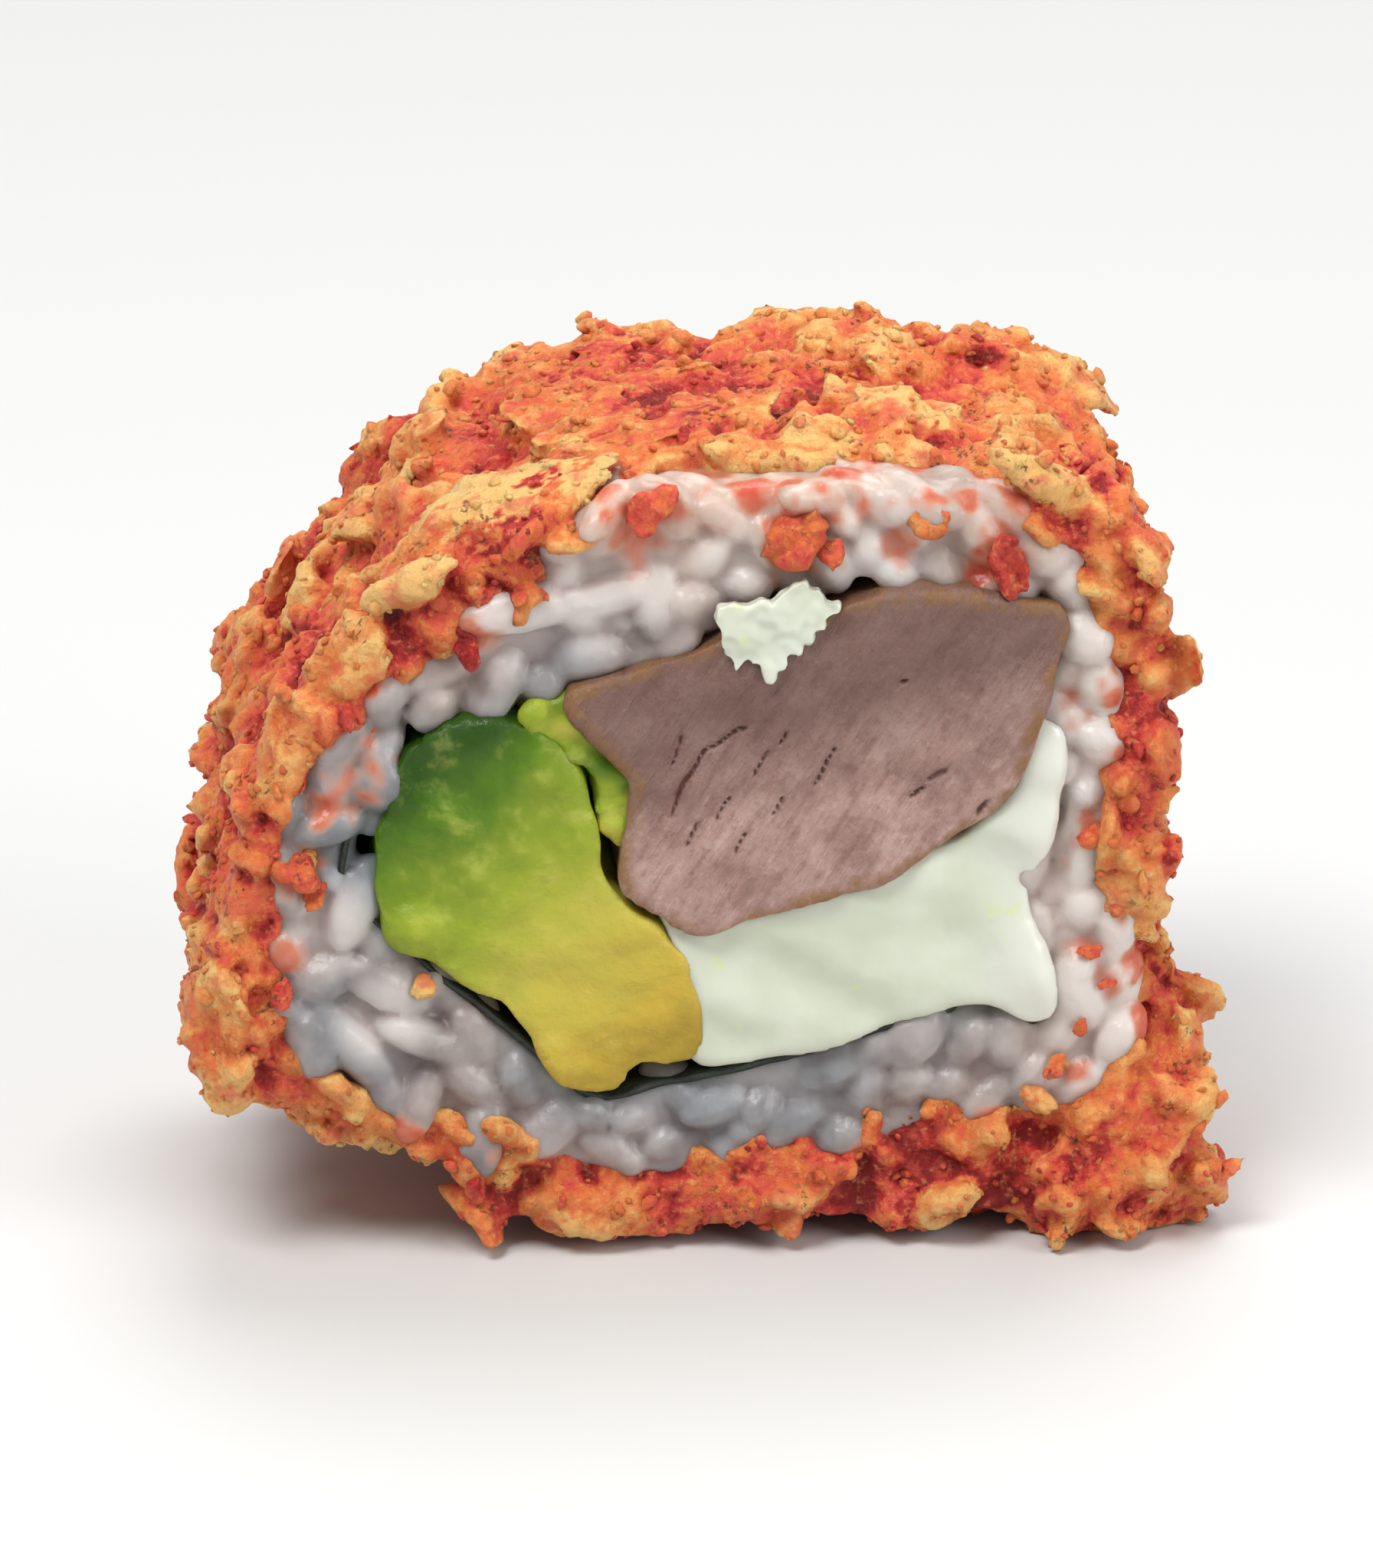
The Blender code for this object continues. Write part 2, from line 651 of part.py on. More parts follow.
def build_nori():
    """The sheet of nori: a thin closed tube between the rice and the fillings."""
    rows = depths(NORI_LAYERS, FACE_FRONT + 0.0002, FACE_BACK - 0.0002)
    rings = [ring(NORI_OUTSIDE, y) for y in rows] + [ring(NORI_INSIDE, y) for y in reversed(rows)]
    loft("nori", rings, material("nori_dark", (0.012, 0.018, 0.012), 0.45), loop=True)


def build_filling(name, corners, front, back, edge, finish):
    """One filling that runs from face to face, its cut edges rounded by `edge`."""
    line = even(rounded(corners), FILLING_STEP)
    tangent = np.roll(line, -1, axis=0) - np.roll(line, 1, axis=0)
    inward = np.stack([-tangent[:, 1], tangent[:, 0]], axis=1)
    inward /= np.linalg.norm(inward, axis=1)[:, None]
    area = np.sum(line[:, 0] * np.roll(line[:, 1], -1) - np.roll(line[:, 0], -1) * line[:, 1])
    if area < 0:
        inward = -inward
    small = line + inward * edge
    rows = [(front, small), (front + edge, line)]
    rows += [(y, line) for y in depths(FILLING_LAYERS, front + edge, back - edge)[1:-1]]
    rows += [(back - edge, line), (back, small)]
    rings = [[turned(x, y, z) for x, z in points] for y, points in rows]
    loft(name, rings, finish)


def build_fillings():
    """Avocado, its thin sliver, meat and cream cheese, each a little proud of the cut or behind it."""
    build_filling("avocado", AVOCADO, FACE_FRONT - 0.0004, FACE_BACK + 0.0003, 0.0004,
                  material("avocado_flesh", (0.42, 0.42, 0.05), 0.35))
    build_filling("avocado_sliver", AVOCADO_SLIVER, FACE_FRONT + 0.0006, FACE_BACK - 0.0006, 0.0001,
                  material("avocado_sliver_flesh", (0.30, 0.42, 0.04), 0.4))
    build_filling("meat", MEAT, FACE_FRONT - 0.0005, FACE_BACK + 0.0004, 0.0004,
                  material("meat_cooked", (0.40, 0.26, 0.22), 0.45))
    build_filling("cream_cheese", CREAM_CHEESE, FACE_FRONT + 0.0001, FACE_BACK - 0.0001, 0.0001,
                  material("cream_cheese_white", (0.80, 0.82, 0.70), 0.3))


def main():
    clear_scene()
    build_coating()
    build_rice()
    build_nori()
    build_fillings()


main()
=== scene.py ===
"""Looks of one cut piece of an uramaki roll: crisp red coating, rice, nori and fillings.

Metres, +Z up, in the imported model's frame. The roll's axis runs along Y and the cut face that shows
best looks towards -Y. Tables are in millimetres, as are the sizes that are multiplied by MM.
"""
import math
from contextlib import contextmanager
from functools import cached_property

import bmesh
import bpy
import numpy as np
from mathutils import Matrix, Vector, kdtree, noise


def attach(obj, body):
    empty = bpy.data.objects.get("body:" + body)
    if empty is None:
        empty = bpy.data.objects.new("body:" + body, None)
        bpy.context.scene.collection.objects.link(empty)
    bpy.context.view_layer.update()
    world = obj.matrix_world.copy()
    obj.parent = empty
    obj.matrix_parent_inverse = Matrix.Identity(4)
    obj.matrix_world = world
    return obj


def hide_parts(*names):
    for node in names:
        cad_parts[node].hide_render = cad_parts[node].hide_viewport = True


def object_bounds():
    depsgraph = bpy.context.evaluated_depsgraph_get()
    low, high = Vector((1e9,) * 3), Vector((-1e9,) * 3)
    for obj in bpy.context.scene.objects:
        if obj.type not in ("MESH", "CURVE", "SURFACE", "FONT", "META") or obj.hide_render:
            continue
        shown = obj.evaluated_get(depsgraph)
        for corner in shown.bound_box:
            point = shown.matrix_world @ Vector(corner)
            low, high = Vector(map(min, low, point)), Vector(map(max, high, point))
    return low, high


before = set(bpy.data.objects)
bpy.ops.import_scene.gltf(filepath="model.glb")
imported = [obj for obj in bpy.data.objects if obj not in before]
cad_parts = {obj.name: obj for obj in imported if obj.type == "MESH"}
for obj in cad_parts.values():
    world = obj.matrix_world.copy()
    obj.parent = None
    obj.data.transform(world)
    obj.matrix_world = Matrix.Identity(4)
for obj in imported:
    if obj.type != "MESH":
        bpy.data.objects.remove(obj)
CAD_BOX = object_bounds()

MM = 0.001
FACE_FRONT = -0.0108
FACE_BACK = 0.0120
DEPTH = FACE_BACK - FACE_FRONT

# The roll's axis, and how far the fillings turn about it from the front face to the back one
AXIS_X = 0.0015
AXIS_Z = 0.0190
AXIS = np.array([AXIS_X, AXIS_Z])
TWIST = math.radians(-13)

# Outlines at the front face: each corner is x, z and its radius
COATING_OUTER = (
    (-24.3, 8.2, 4.5), (-12.6, 3.2, 3.0), (-10.6, -0.1, 2.5), (17.5, -0.1, 7.0), (21.4, 5.5, 5.0),
    (21.3, 12.0, 20.0), (22.3, 24.0, 20.0), (21.1, 36.2, 8.0), (10.0, 38.9, 20.0), (-3.0, 37.2, 20.0),
    (-12.0, 35.7, 8.0), (-19.3, 27.2, 12.0), (-22.6, 19.2, 10.0),
)
RICE_OUTER = (
    (-20.2, 9.6, 4.5), (-10.0, 5.0, 12.0), (-2.0, 3.6, 12.0), (5.0, 3.8, 6.0), (12.0, 6.6, 6.0),
    (19.9, 5.5, 4.3), (19.7, 16.0, 15.0), (18.9, 25.0, 15.0), (17.8, 35.4, 6.0), (8.0, 37.0, 20.0),
    (-5.6, 36.6, 8.0), (-20.2, 23.2, 5.0),
)
NORI_MIDDLE = (
    (-16.8, 18.2, 2.0), (-5.2, 7.5, 1.8), (4.6, 9.6, 10.0), (11.6, 11.6, 4.0), (17.0, 9.6, 1.9),
    (15.6, 16.5, 6.0), (16.9, 24.0, 6.0), (17.3, 31.6, 3.0), (2.0, 32.6, 4.0), (-3.6, 28.2, 4.0),
    (-15.2, 27.0, 3.6),
)
AVOCADO = (
    (-13.6, 26.2, 3.5), (-6.3, 26.2, 4.5), (-4.7, 18.0, 4.0), (-0.4, 13.9, 3.0), (-0.4, 9.7, 1.2),
    (-3.3, 9.5, 0.6), (-4.1, 8.3, 0.8), (-6.4, 8.4, 1.0), (-8.0, 11.5, 5.0), (-12.0, 14.8, 3.0),
    (-14.3, 15.6, 1.5), (-15.2, 18.7, 4.0),
)
MEAT = (
    (-4.0, 18.3, 1.4), (-0.4, 15.7, 2.0), (8.6, 18.5, 10.0), (13.5, 21.5, 4.0), (16.6, 30.9, 0.9),
    (8.8, 32.0, 8.0), (-0.8, 29.3, 6.0), (-6.6, 27.4, 0.5), (-3.2, 23.4, 1.5),
)
CREAM_CHEESE = (
    (-3.0, 18.2, 0.3), (-0.6, 15.8, 1.5), (8.8, 18.4, 10.0), (14.0, 21.3, 4.0), (15.1, 26.0, 0.4),
    (16.3, 25.0, 0.6), (15.8, 21.0, 3.0), (14.7, 17.0, 3.0), (16.4, 9.5, 0.8), (12.6, 12.4, 3.0),
    (5.0, 9.8, 10.0), (-0.8, 9.2, 1.0), (-0.5, 13.2, 2.0),
)
SLIVER = (
    (-8.6, 26.4, 0.4), (-4.6, 27.6, 0.5), (-3.4, 23.6, 0.8), (-3.4, 19.6, 0.3), (-4.3, 21.0, 2.0),
    (-5.0, 24.2, 1.0),
)

# The pale scrap of cheese that hangs over the meat's upper edge: x and z of its points, and their radius
SCRAP = (
    (0.4, 31.7), (1.1, 31.8), (1.8, 31.6), (2.4, 31.9), (2.9, 31.7), (3.3, 32.2), (4.0, 32.7), (4.4, 32.8),
    (4.7, 32.3), (5.0, 32.4), (5.4, 31.8), (6.0, 31.6), (5.9, 31.2), (5.3, 31.0), (5.3, 30.5), (4.7, 30.4),
    (4.7, 29.9), (4.2, 30.0), (4.2, 29.3), (3.6, 29.4), (3.5, 28.7), (3.1, 28.7), (2.8, 28.0), (2.5, 28.7),
    (2.3, 29.1), (2.0, 28.9), (1.9, 29.4), (1.6, 29.0), (1.2, 28.6), (1.1, 29.3), (0.7, 29.3), (0.6, 29.9),
    (0.7, 30.6), (0.3, 31.0),
)
SCRAP_RADIUS = 0.1

# Stretches where the coating's front rim has broken away and the rice shows beyond the cut: the
# direction from the axis, half the stretch, and how far the rim lies behind the cut
BROKEN_RIMS = (
    (math.radians(83), math.radians(33), 3.4 * MM),
    (math.radians(-19), math.radians(12), 1.8 * MM),
)
BREAK_SLOPE = 2.5

# The underside rises towards the front cut
FOOT_LIFT = 1.4 * MM
FOOT_REACH = 6.0 * MM

# The coating's own skin lies this far inside its outline, which the flakes and crumbs on it reach; it
# is this thick at least, and reaches this far into the rice
SKIN_INSET = 1.2 * MM
SKIN_THINNEST = 0.7 * MM
SKIN_OVERLAP = 0.9 * MM

# Nothing on the coating stands out of the model's box by more than this share of its side, and nothing
# comes nearer to the floor than this
BOX_MARGIN = 0.024
SKIN_LOWEST = 0.05 * MM
FLAKE_LOWEST = 0.03 * MM

# Mesh fineness
SKIN_COLUMNS = 480
RIM_ROWS = 15
SKIN_ROWS = 84
RING_COLUMNS = 160
NORI_COLUMNS = 420
NORI_ROWS = 12
FILLING_ROWS = 12
CRUST_VOXEL = 0.305 * MM
RICE_VOXEL = 0.215 * MM
FILLING_VOXEL = 0.26 * MM
MEAT_VOXEL = 0.17 * MM
SCRAP_VOXEL = 0.10 * MM


def unit(vector):
    """The same direction, of length one."""
    return vector / np.linalg.norm(vector)


def share_of(values):
    """The values, held between 0 and 1."""
    return np.clip(values, 0, 1)


def rise(lengths, low, high):
    """0 up to `low` millimetres and 1 from `high` on, and in proportion between them."""
    return share_of((lengths / MM - low) / (high - low))


def rounded(corners):
    """The closed line round a polygon of (x, z, radius) corners, each corner an arc."""
    line = []
    count = len(corners)
    for index, (x, z, radius) in enumerate(corners):
        here = Vector((x, z)) * MM
        before = Vector(corners[index - 1][:2]) * MM
        after = Vector(corners[(index + 1) % count][:2]) * MM
        towards_before = (before - here).normalized()
        towards_after = (after - here).normalized()
        half = towards_before.angle(towards_after) / 2
        reach = min(radius * MM / math.tan(half), 0.49 * min((before - here).length, (after - here).length))
        arc_radius = reach * math.tan(half)
        centre = here + (towards_before + towards_after).normalized() * (arc_radius / math.sin(half))
        start = here + towards_before * reach - centre
        end = here + towards_after * reach - centre
        sweep = start.angle_signed(end)
        steps = max(2, math.ceil(abs(sweep) / math.radians(6)))
        for step in range(steps + 1):
            line.append(centre + Matrix.Rotation(-sweep * step / steps, 2) @ start)
    return np.array([tuple(point) for point in line])


def even(line, step):
    """The same closed line with points evenly spaced along it, about `step` apart."""
    closed = np.vstack([line, line[:1]])
    lengths = np.linalg.norm(np.diff(closed, axis=0), axis=1)
    along = np.concatenate([[0.0], np.cumsum(lengths)])
    count = max(8, round(along[-1] / step))
    places = np.arange(count) * along[-1] / count
    return np.stack([np.interp(places, along, closed[:, axis]) for axis in (0, 1)], axis=1)


def outwards_of(line):
    """The direction straight out of a closed line at each of its points."""
    tangent = np.roll(line, -1, axis=0) - np.roll(line, 1, axis=0)
    normal = np.stack([tangent[:, 1], -tangent[:, 0]], axis=1)
    normal /= np.linalg.norm(normal, axis=1)[:, None]
    return normal if np.sum((line - line.mean(axis=0)) * normal) > 0 else -normal


class Ring:
    """An outline's distance from the roll's axis at any angle."""

    def __init__(self, corners, offset=0.0):
        line = even(rounded(corners), 0.3 * MM)
        across = line + outwards_of(line) * offset - AXIS
        angles = np.arctan2(across[:, 1], across[:, 0])
        order = np.argsort(angles)
        self.angles = angles[order]
        self.radii = np.linalg.norm(across, axis=1)[order]

    def at(self, angle):
        return np.interp(angle, self.angles, self.radii, period=2 * math.pi)


OUTER = Ring(COATING_OUTER, -SKIN_INSET)
RICE_EDGE = Ring(RICE_OUTER)
NORI = Ring(NORI_MIDDLE)


def circle(count):
    """Evenly spaced angles all the way round."""
    return 2 * math.pi * np.arange(count) / count


def in_ring(angle, reach, depth):
    """Places at these directions round the roll, distances from its axis and depths along it."""
    places = np.broadcast_arrays(AXIS_X + reach * np.cos(angle), depth, AXIS_Z + reach * np.sin(angle))
    return np.stack(places, axis=-1)


def about_axis(points):
    """The points' places across the roll, distances from its axis and directions round it."""
    across = points[:, (0, 2)] - AXIS
    return across, np.linalg.norm(across, axis=1), np.arctan2(across[:, 1], across[:, 0])


def turned(points, way=1):
    """Points of the straight roll, moved to where they lie once the fillings have turned."""
    across, reach, angle = about_axis(points)
    share = np.minimum(1.0, reach / OUTER.at(angle))
    turn = way * TWIST * (1 - share ** 2) * (points[:, 1] - FACE_FRONT) / DEPTH
    moved = points.copy()
    moved[:, 0] = AXIS_X + across[:, 0] * np.cos(turn) - across[:, 1] * np.sin(turn)
    moved[:, 2] = AXIS_Z + across[:, 0] * np.sin(turn) + across[:, 1] * np.cos(turn)
    return moved


def straight(points):
    """The reverse of turned, near enough for colours and masks."""
    return turned(points, -1)


def face_distance(points, x, z, size):
    """How far each point is from a place of the cut face, in units of `size`."""
    return np.hypot(points[:, 0] - x * MM, points[:, 2] - z * MM) / (size * MM)


def near_front(points, reach):
    """1 at the front cut, fading to 0 this far behind it."""
    return share_of(1 - (points[:, 1] - FACE_FRONT) / reach)


def soft_noise(points, size, seed=0.0):
    """Soft noise from -1 to 1 at each point, with features about `size` across."""
    shift = Vector((seed * 13.1, seed * 7.7, seed * 3.3))
    return np.array([noise.noise(Vector(point) / size + shift) for point in points])


def noises(points, *layers):
    """The sum of soft noises, each given as its size in millimetres, height and seed."""
    return sum(soft_noise(points, size * MM, seed) * height for size, height, seed in layers)


def warp(points, size, reach):
    """A soft shift for each point, so that what is laid out from them loses its straight lines."""
    return np.stack([soft_noise(points, size, seed) for seed in (51, 52, 53)], axis=1) * reach


def cells(points, size, seed=0.0):
    """Pebbles of about `size`: 0 in the creases and 1 on top, and a random height for each."""
    shift = Vector((seed * 5.3, seed * 2.9, seed * 8.1))
    tops = np.empty(len(points))
    heights = np.empty(len(points))
    for index, point in enumerate(points):
        distances, centres = noise.voronoi(Vector(point) / size + shift)
        tops[index] = min(1.0, 1.6 * (distances[1] - distances[0]))
        heights[index] = noise.noise(centres[0] * 7.3 + shift)
    return tops ** 0.6, heights


def make_object(name, vertices, faces, smooth=True):
    """A mesh object from points and faces."""
    mesh = bpy.data.meshes.new(name)
    mesh.from_pydata(np.asarray(vertices).tolist(), [], faces)
    mesh.validate()
    if smooth:
        mesh.shade_smooth()
    made = bpy.data.objects.new(name, mesh)
    bpy.context.scene.collection.objects.link(made)
    return made


def read(items, name, width, kind=float):
    """One value of all the items of a mesh, as an array with a row for each."""
    flat = np.empty(len(items) * width, dtype=kind)
    items.foreach_get(name, flat)
    return flat.reshape(-1, width)


def points_of(piece):
    """A piece's vertices as an array."""
    return read(piece.data.vertices, "co", 3)


def normals_of(piece):
    """A piece's vertex normals as an array."""
    return read(piece.data.vertex_normals, "vector", 3)


def move_points(piece, points):
    """Put a piece's vertices at these places."""
    piece.data.vertices.foreach_set("co", points.ravel())
    piece.data.update()


def push_out(piece, heights):
    """Move a piece's surface out by these heights in millimetres, but not into the floor."""
    points = points_of(piece) + normals_of(piece) * (heights * MM)[:, None]
    points[:, 2] = np.maximum(points[:, 2], SKIN_LOWEST)
    move_points(piece, points)


def set_value(piece, name, values):
    """Store one number for each vertex, for the material to read."""
    attributes = piece.data.attributes
    attribute = attributes.get(name) or attributes.new(name, "FLOAT", "POINT")
    attribute.data.foreach_set("value", np.full(len(attribute.data), values, dtype=np.float32))


def remesh(piece, voxel, smoothing=2, factor=0.5):
    """Fuse a piece's overlapping parts into one skin, and soften it a little."""
    fuse = piece.modifiers.new("fuse", "REMESH")
    fuse.mode = "VOXEL"
    fuse.voxel_size = voxel
    soften = piece.modifiers.new("soften", "SMOOTH")
    soften.factor = factor
    soften.iterations = smoothing
    evaluated = piece.evaluated_get(bpy.context.evaluated_depsgraph_get())
    mesh = bpy.data.meshes.new_from_object(evaluated)
    piece.modifiers.clear()
    piece.data = mesh
    mesh.shade_smooth()


@contextmanager
def reshaping(piece):
    """A piece's mesh, open for changes."""
    shape = bmesh.new()
    shape.from_mesh(piece.data)
    yield shape
    shape.to_mesh(piece.data)
    shape.free()


def face_outwards(piece):
    """Turn all faces outwards."""
    with reshaping(piece) as shape:
        bmesh.ops.recalc_face_normals(shape, faces=shape.faces)


def weld(piece):
    """Merge points that lie together."""
    with reshaping(piece) as shape:
        bmesh.ops.remove_doubles(shape, verts=shape.verts, dist=0.001 * MM)


def join(piece, other):
    """Add another piece's mesh to this one."""
    with reshaping(piece) as shape:
        shape.from_mesh(other.data)
    bpy.data.objects.remove(other)
    piece.data.shade_smooth()


def drop_points(piece, hidden):
    """Leave out these points of a piece, and the faces on them."""
    with reshaping(piece) as shape:
        shape.verts.ensure_lookup_table()
        dropped = [shape.verts[index] for index in np.flatnonzero(hidden)]
        bmesh.ops.delete(shape, geom=dropped, context="VERTS")


def keep_in_box(points):
    """Push a small shape back where it would stand out of the model's box, or into the floor."""
    low, high = (np.array(corner) for corner in CAD_BOX)
    margin = (high - low) * BOX_MARGIN
    low = low - margin
    high = high + margin
    low[2] = FLAKE_LOWEST
    points += np.maximum(low - points.min(axis=0), 0)
    points -= np.maximum(points.max(axis=0) - high, 0)
    return points


def grid_faces(columns, rows):
    """Quads of a grid that is closed round its columns."""
    index = np.arange(columns)
    after = (index + 1) % columns
    low = columns * np.arange(rows - 1)[:, None]
    high = low + columns
    return np.stack([low + index, low + after, high + after, high + index], axis=2).reshape(-1, 4)


def split(quads):
    """Two triangles for each quad."""
    return np.concatenate([quads[:, (0, 1, 2)], quads[:, (0, 2, 3)]])


def fan(start, sides, tip):
    """Triangles from a closed row of points to one point."""
    index = np.arange(sides)
    return np.stack([start + index, start + (index + 1) % sides, np.full(sides, tip)], axis=1)


def front_rim(angle):
    """The depth of the coating's front rim: at the cut, or behind it where the rim has broken away."""
    depth = FACE_FRONT
    for middle, half, setback in BROKEN_RIMS:
        away = np.abs((angle - middle + math.pi) % (2 * math.pi) - math.pi) / half
        share = share_of(BREAK_SLOPE * (1 - away))
        depth = depth + setback * share * share * (3 - 2 * share)
    return depth


def coating_path(inner, outer, rim):
    """The coating's section at one angle: up the front rim, over the skin and down the back rim."""
    tuck = 1.6 * MM
    corner = min(0.9 * MM, 0.6 * (outer - inner))
    edge = outer - corner
    climb = np.linspace(inner, edge, RIM_ROWS)
    arc = np.linspace(0, math.pi / 2, 5)[1:-1]
    reach = [[inner, inner], climb, edge + corner * np.sin(arc), np.full(SKIN_ROWS, outer)]
    reach += [edge + corner * np.cos(arc), climb[::-1], [inner, inner]]
    depth = [[rim + tuck, rim + tuck / 2], np.full(RIM_ROWS, rim), rim + corner - corner * np.cos(arc)]
    turn_back = FACE_BACK - corner
    depth += [np.linspace(rim + corner, turn_back, SKIN_ROWS), turn_back + corner * np.sin(arc)]
    depth += [np.full(RIM_ROWS, FACE_BACK), [FACE_BACK - tuck / 2, FACE_BACK - tuck]]
    return np.concatenate(reach), np.concatenate(depth)


def build_coating_base():
    """The moist red body of the coating: a closed skin round the rice."""
    columns = []
    for angle in circle(SKIN_COLUMNS) - math.pi:
        inner = RICE_EDGE.at(angle) - SKIN_OVERLAP
        outer = max(OUTER.at(angle), RICE_EDGE.at(angle) + SKIN_THINNEST)
        columns.append(in_ring(angle, *coating_path(inner, outer, front_rim(angle))))
    points = np.stack(columns, axis=1)
    points = np.concatenate([points, points[:1]]).reshape(-1, 3)
    points[:, 2] = np.maximum(points[:, 2], FOOT_LIFT * near_front(points, FOOT_REACH) ** 2)
    base = make_object("coating_crust", points, grid_faces(SKIN_COLUMNS, len(columns[0]) + 1))
    weld(base)
    face_outwards(base)
    roughen_crust(base, 1)
    move_points(base, turned(points_of(base)))
    return base


def roughen_crust(piece, seed):
    """Give a piece the crust's relief: broken plates, lumps, crumbs and the hollows between them."""
    points = points_of(piece)
    warped = points + warp(points, 2.4 * MM, 0.9 * MM)
    plates, plate_heights = cells(warped, 4.4 * MM, seed)
    lumps, lump_heights = cells(warped, 1.9 * MM, seed + 1)
    crumbs, crumb_heights = cells(points, 0.95 * MM, seed + 2)
    height = 0.50 * (plates - 0.7) + 0.95 * plate_heights + 0.42 * (lumps - 0.6) + 0.55 * lump_heights
    height += 0.22 * (crumbs - 0.6) + 0.25 * crumb_heights + 0.4 * soft_noise(points, 7.0 * MM, seed + 3)
    push_out(piece, height * 0.85)
    set_value(piece, "tone", crust_tone(points) + 0.16 * plate_heights + 0.12 * lump_heights)


# Patches of the crust that differ from the rest, some of them painted light and shade: direction round
# the roll in degrees, depth along it and radius, and how much lighter they are, or redder where that is
# below zero. The patch at 121 degrees is a painted shadow under the large flake, and the one at -38
# degrees is painted light on the clump.
CRUST_PATCHES_LIGHT_AND_SHADE = (
    (121, -11.5, 3.0, -0.36), (124, -6.5, 4.0, -0.14), (162, -5.0, 6.0, -0.10), (10, -5.0, 6.0, -0.08),
    (153, -11.0, 2.8, -0.26), (175, -10.8, 3.4, -0.24), (99, 1.0, 2.6, -0.26), (42, -9.0, 3.0, -0.10),
    (-66, -10.5, 4.0, -0.16), (-100, -9.5, 3.0, -0.12), (152, -8.0, 5.0, -0.12), (116, -6.0, 4.5, 0.14),
    (88, -4.0, 5.0, 0.08), (-160, -10.0, 4.0, 0.08), (66, -3.0, 4.0, 0.10), (-38, -9.0, 4.6, 0.16),
    (60, 7.0, 4.0, -0.18), (-172, 4.0, 5.0, -0.14), (5, 4.0, 4.5, -0.12),
)


def crust_tone(points):
    """How light and yellow the crust is here: lightest on top, redder elsewhere, in uneven patches."""
    across = (points[:, 0] - AXIS_X) / (22 * MM)
    up = (points[:, 2] - AXIS_Z) / (20 * MM)
    tone = 0.375 + 0.06 * np.clip(up, -1, 1) - 0.02 * np.clip(across, -0.3, 1)
    tone += 0.32 * noises(points, (6.0, 1.0, 61), (2.6, 0.6, 62))
    # Painted shade: darker and redder near the floor
    tone -= 0.24 * share_of(1 - points[:, 2] / (4 * MM))
    # Patches, some of them painted shadow or painted light
    for degrees, depth, radius, lighter in CRUST_PATCHES_LIGHT_AND_SHADE:
        angle = math.radians(degrees)
        away = np.linalg.norm(points - in_ring(angle, OUTER.at(angle), depth * MM), axis=1) / (radius * MM)
        tone += lighter * share_of(1.5 - away)
    return tone


def apart(places, spacing, count):
    """Which places, at most `count`, lie at least this far from all the ones kept before them."""
    kept = []
    buckets = {}
    for index, place in enumerate(places):
        x, y, z = np.floor(place / spacing).astype(int)
        near = [
            other for dx in (-1, 0, 1) for dy in (-1, 0, 1) for dz in (-1, 0, 1)
            for other in buckets.get((x + dx, y + dy, z + dz), ())
        ]
        if all(np.linalg.norm(place - other) > spacing for other in near):
            kept.append(index)
            buckets.setdefault((x, y, z), []).append(place)
        if len(kept) == count:
            break
    return kept


class Surface:
    """Faces of some pieces to scatter things on: each one's middle, normal and area."""

    def __init__(self, *pieces):
        self.middles, self.normals, areas = (
            np.concatenate([read(piece.data.polygons, name, width) for piece in pieces])
            for name, width in (("center", 3), ("normal", 3), ("area", 1)))
        self.areas = areas[:, 0]

    def pick(self, rng, count, spacing=0.0, sides_only=False):
        """Places and normals drawn by area, at least `spacing` apart, or off the two cuts only."""
        chance = self.areas * (np.abs(self.normals[:, 1]) < 0.5) if sides_only else self.areas
        tries = min(len(chance), count * (6 if spacing else 1))
        drawn = rng.choice(len(chance), size=tries, p=chance / chance.sum())
        if spacing:
            drawn = drawn[apart(self.middles[drawn], spacing, count)]
        return self.middles[drawn], self.normals[drawn]


def layered(rng, place, normal):
    """At a cut most flakes lie in layers round the roll, and show their edges."""
    if abs(normal[1]) < 0.6 or rng.uniform() > 0.55:
        return normal
    return unit(np.array([place[0] - AXIS_X, 0.0, place[2] - AXIS_Z])) + 0.35 * normal


def frame_for(rng, normal, tilt):
    """A random turn about a normal, tipped by up to `tilt`: the columns are two edges and the face."""
    side = unit(np.cross(normal, rng.normal(size=3)))
    up = unit(normal + tilt * rng.uniform(0, 1) * side)
    first = unit(np.cross(up, rng.normal(size=3)))
    return np.stack([first, np.cross(up, first), up], axis=1)


def flake_shape(rng, length, width, thick, sides, rings):
    """One brittle flake about its middle: an uneven outline, a curl, a blistered face and a soft edge."""
    angles = circle(sides)
    phases = rng.uniform(0, 2 * math.pi, 4)
    outline = 1 + rng.uniform(-0.05, 0.05, sides)
    for waves, reach, phase in zip((2, 3, 5, 8), (0.13, 0.10, 0.06, 0.04), phases):
        outline += reach * np.sin(waves * angles + phase)
    curl = rng.uniform(-0.05, 0.18) * length
    fold = rng.uniform(-0.18, 0.18) * width
    seed = rng.uniform(0, 40)
    layers = []
    for side, roughness in ((1, 1.0), (-1, 0.4)):
        for ring in range(rings + 1):
            share = 1 - ring / rings
            x = share * outline * np.cos(angles) if share else np.zeros(1)
            y = share * outline * np.sin(angles) if share else np.zeros(1)
            flat = np.stack([x * length / 2, y * width / 2, np.zeros(len(x))], axis=1)
            blister = noises(flat, (1.1, 0.55, seed + side), (0.5, 0.25, seed))
            swell = math.sqrt(1 - 0.86 * share ** 4)
            flat[:, 2] = curl * x ** 2 + fold * x * y + side * thick / 2 * swell + blister * thick * roughness
            layers.append(flat)
    per_side = sides * rings + 1
    face = np.concatenate([split(grid_faces(sides, rings)), fan((rings - 1) * sides, sides, per_side - 1)])
    index = np.arange(sides)
    after = (index + 1) % sides
    edge = np.stack([index, per_side + index, per_side + after, after], axis=1)
    return np.concatenate(layers), np.concatenate([face, face[:, ::-1] + per_side, split(edge)])


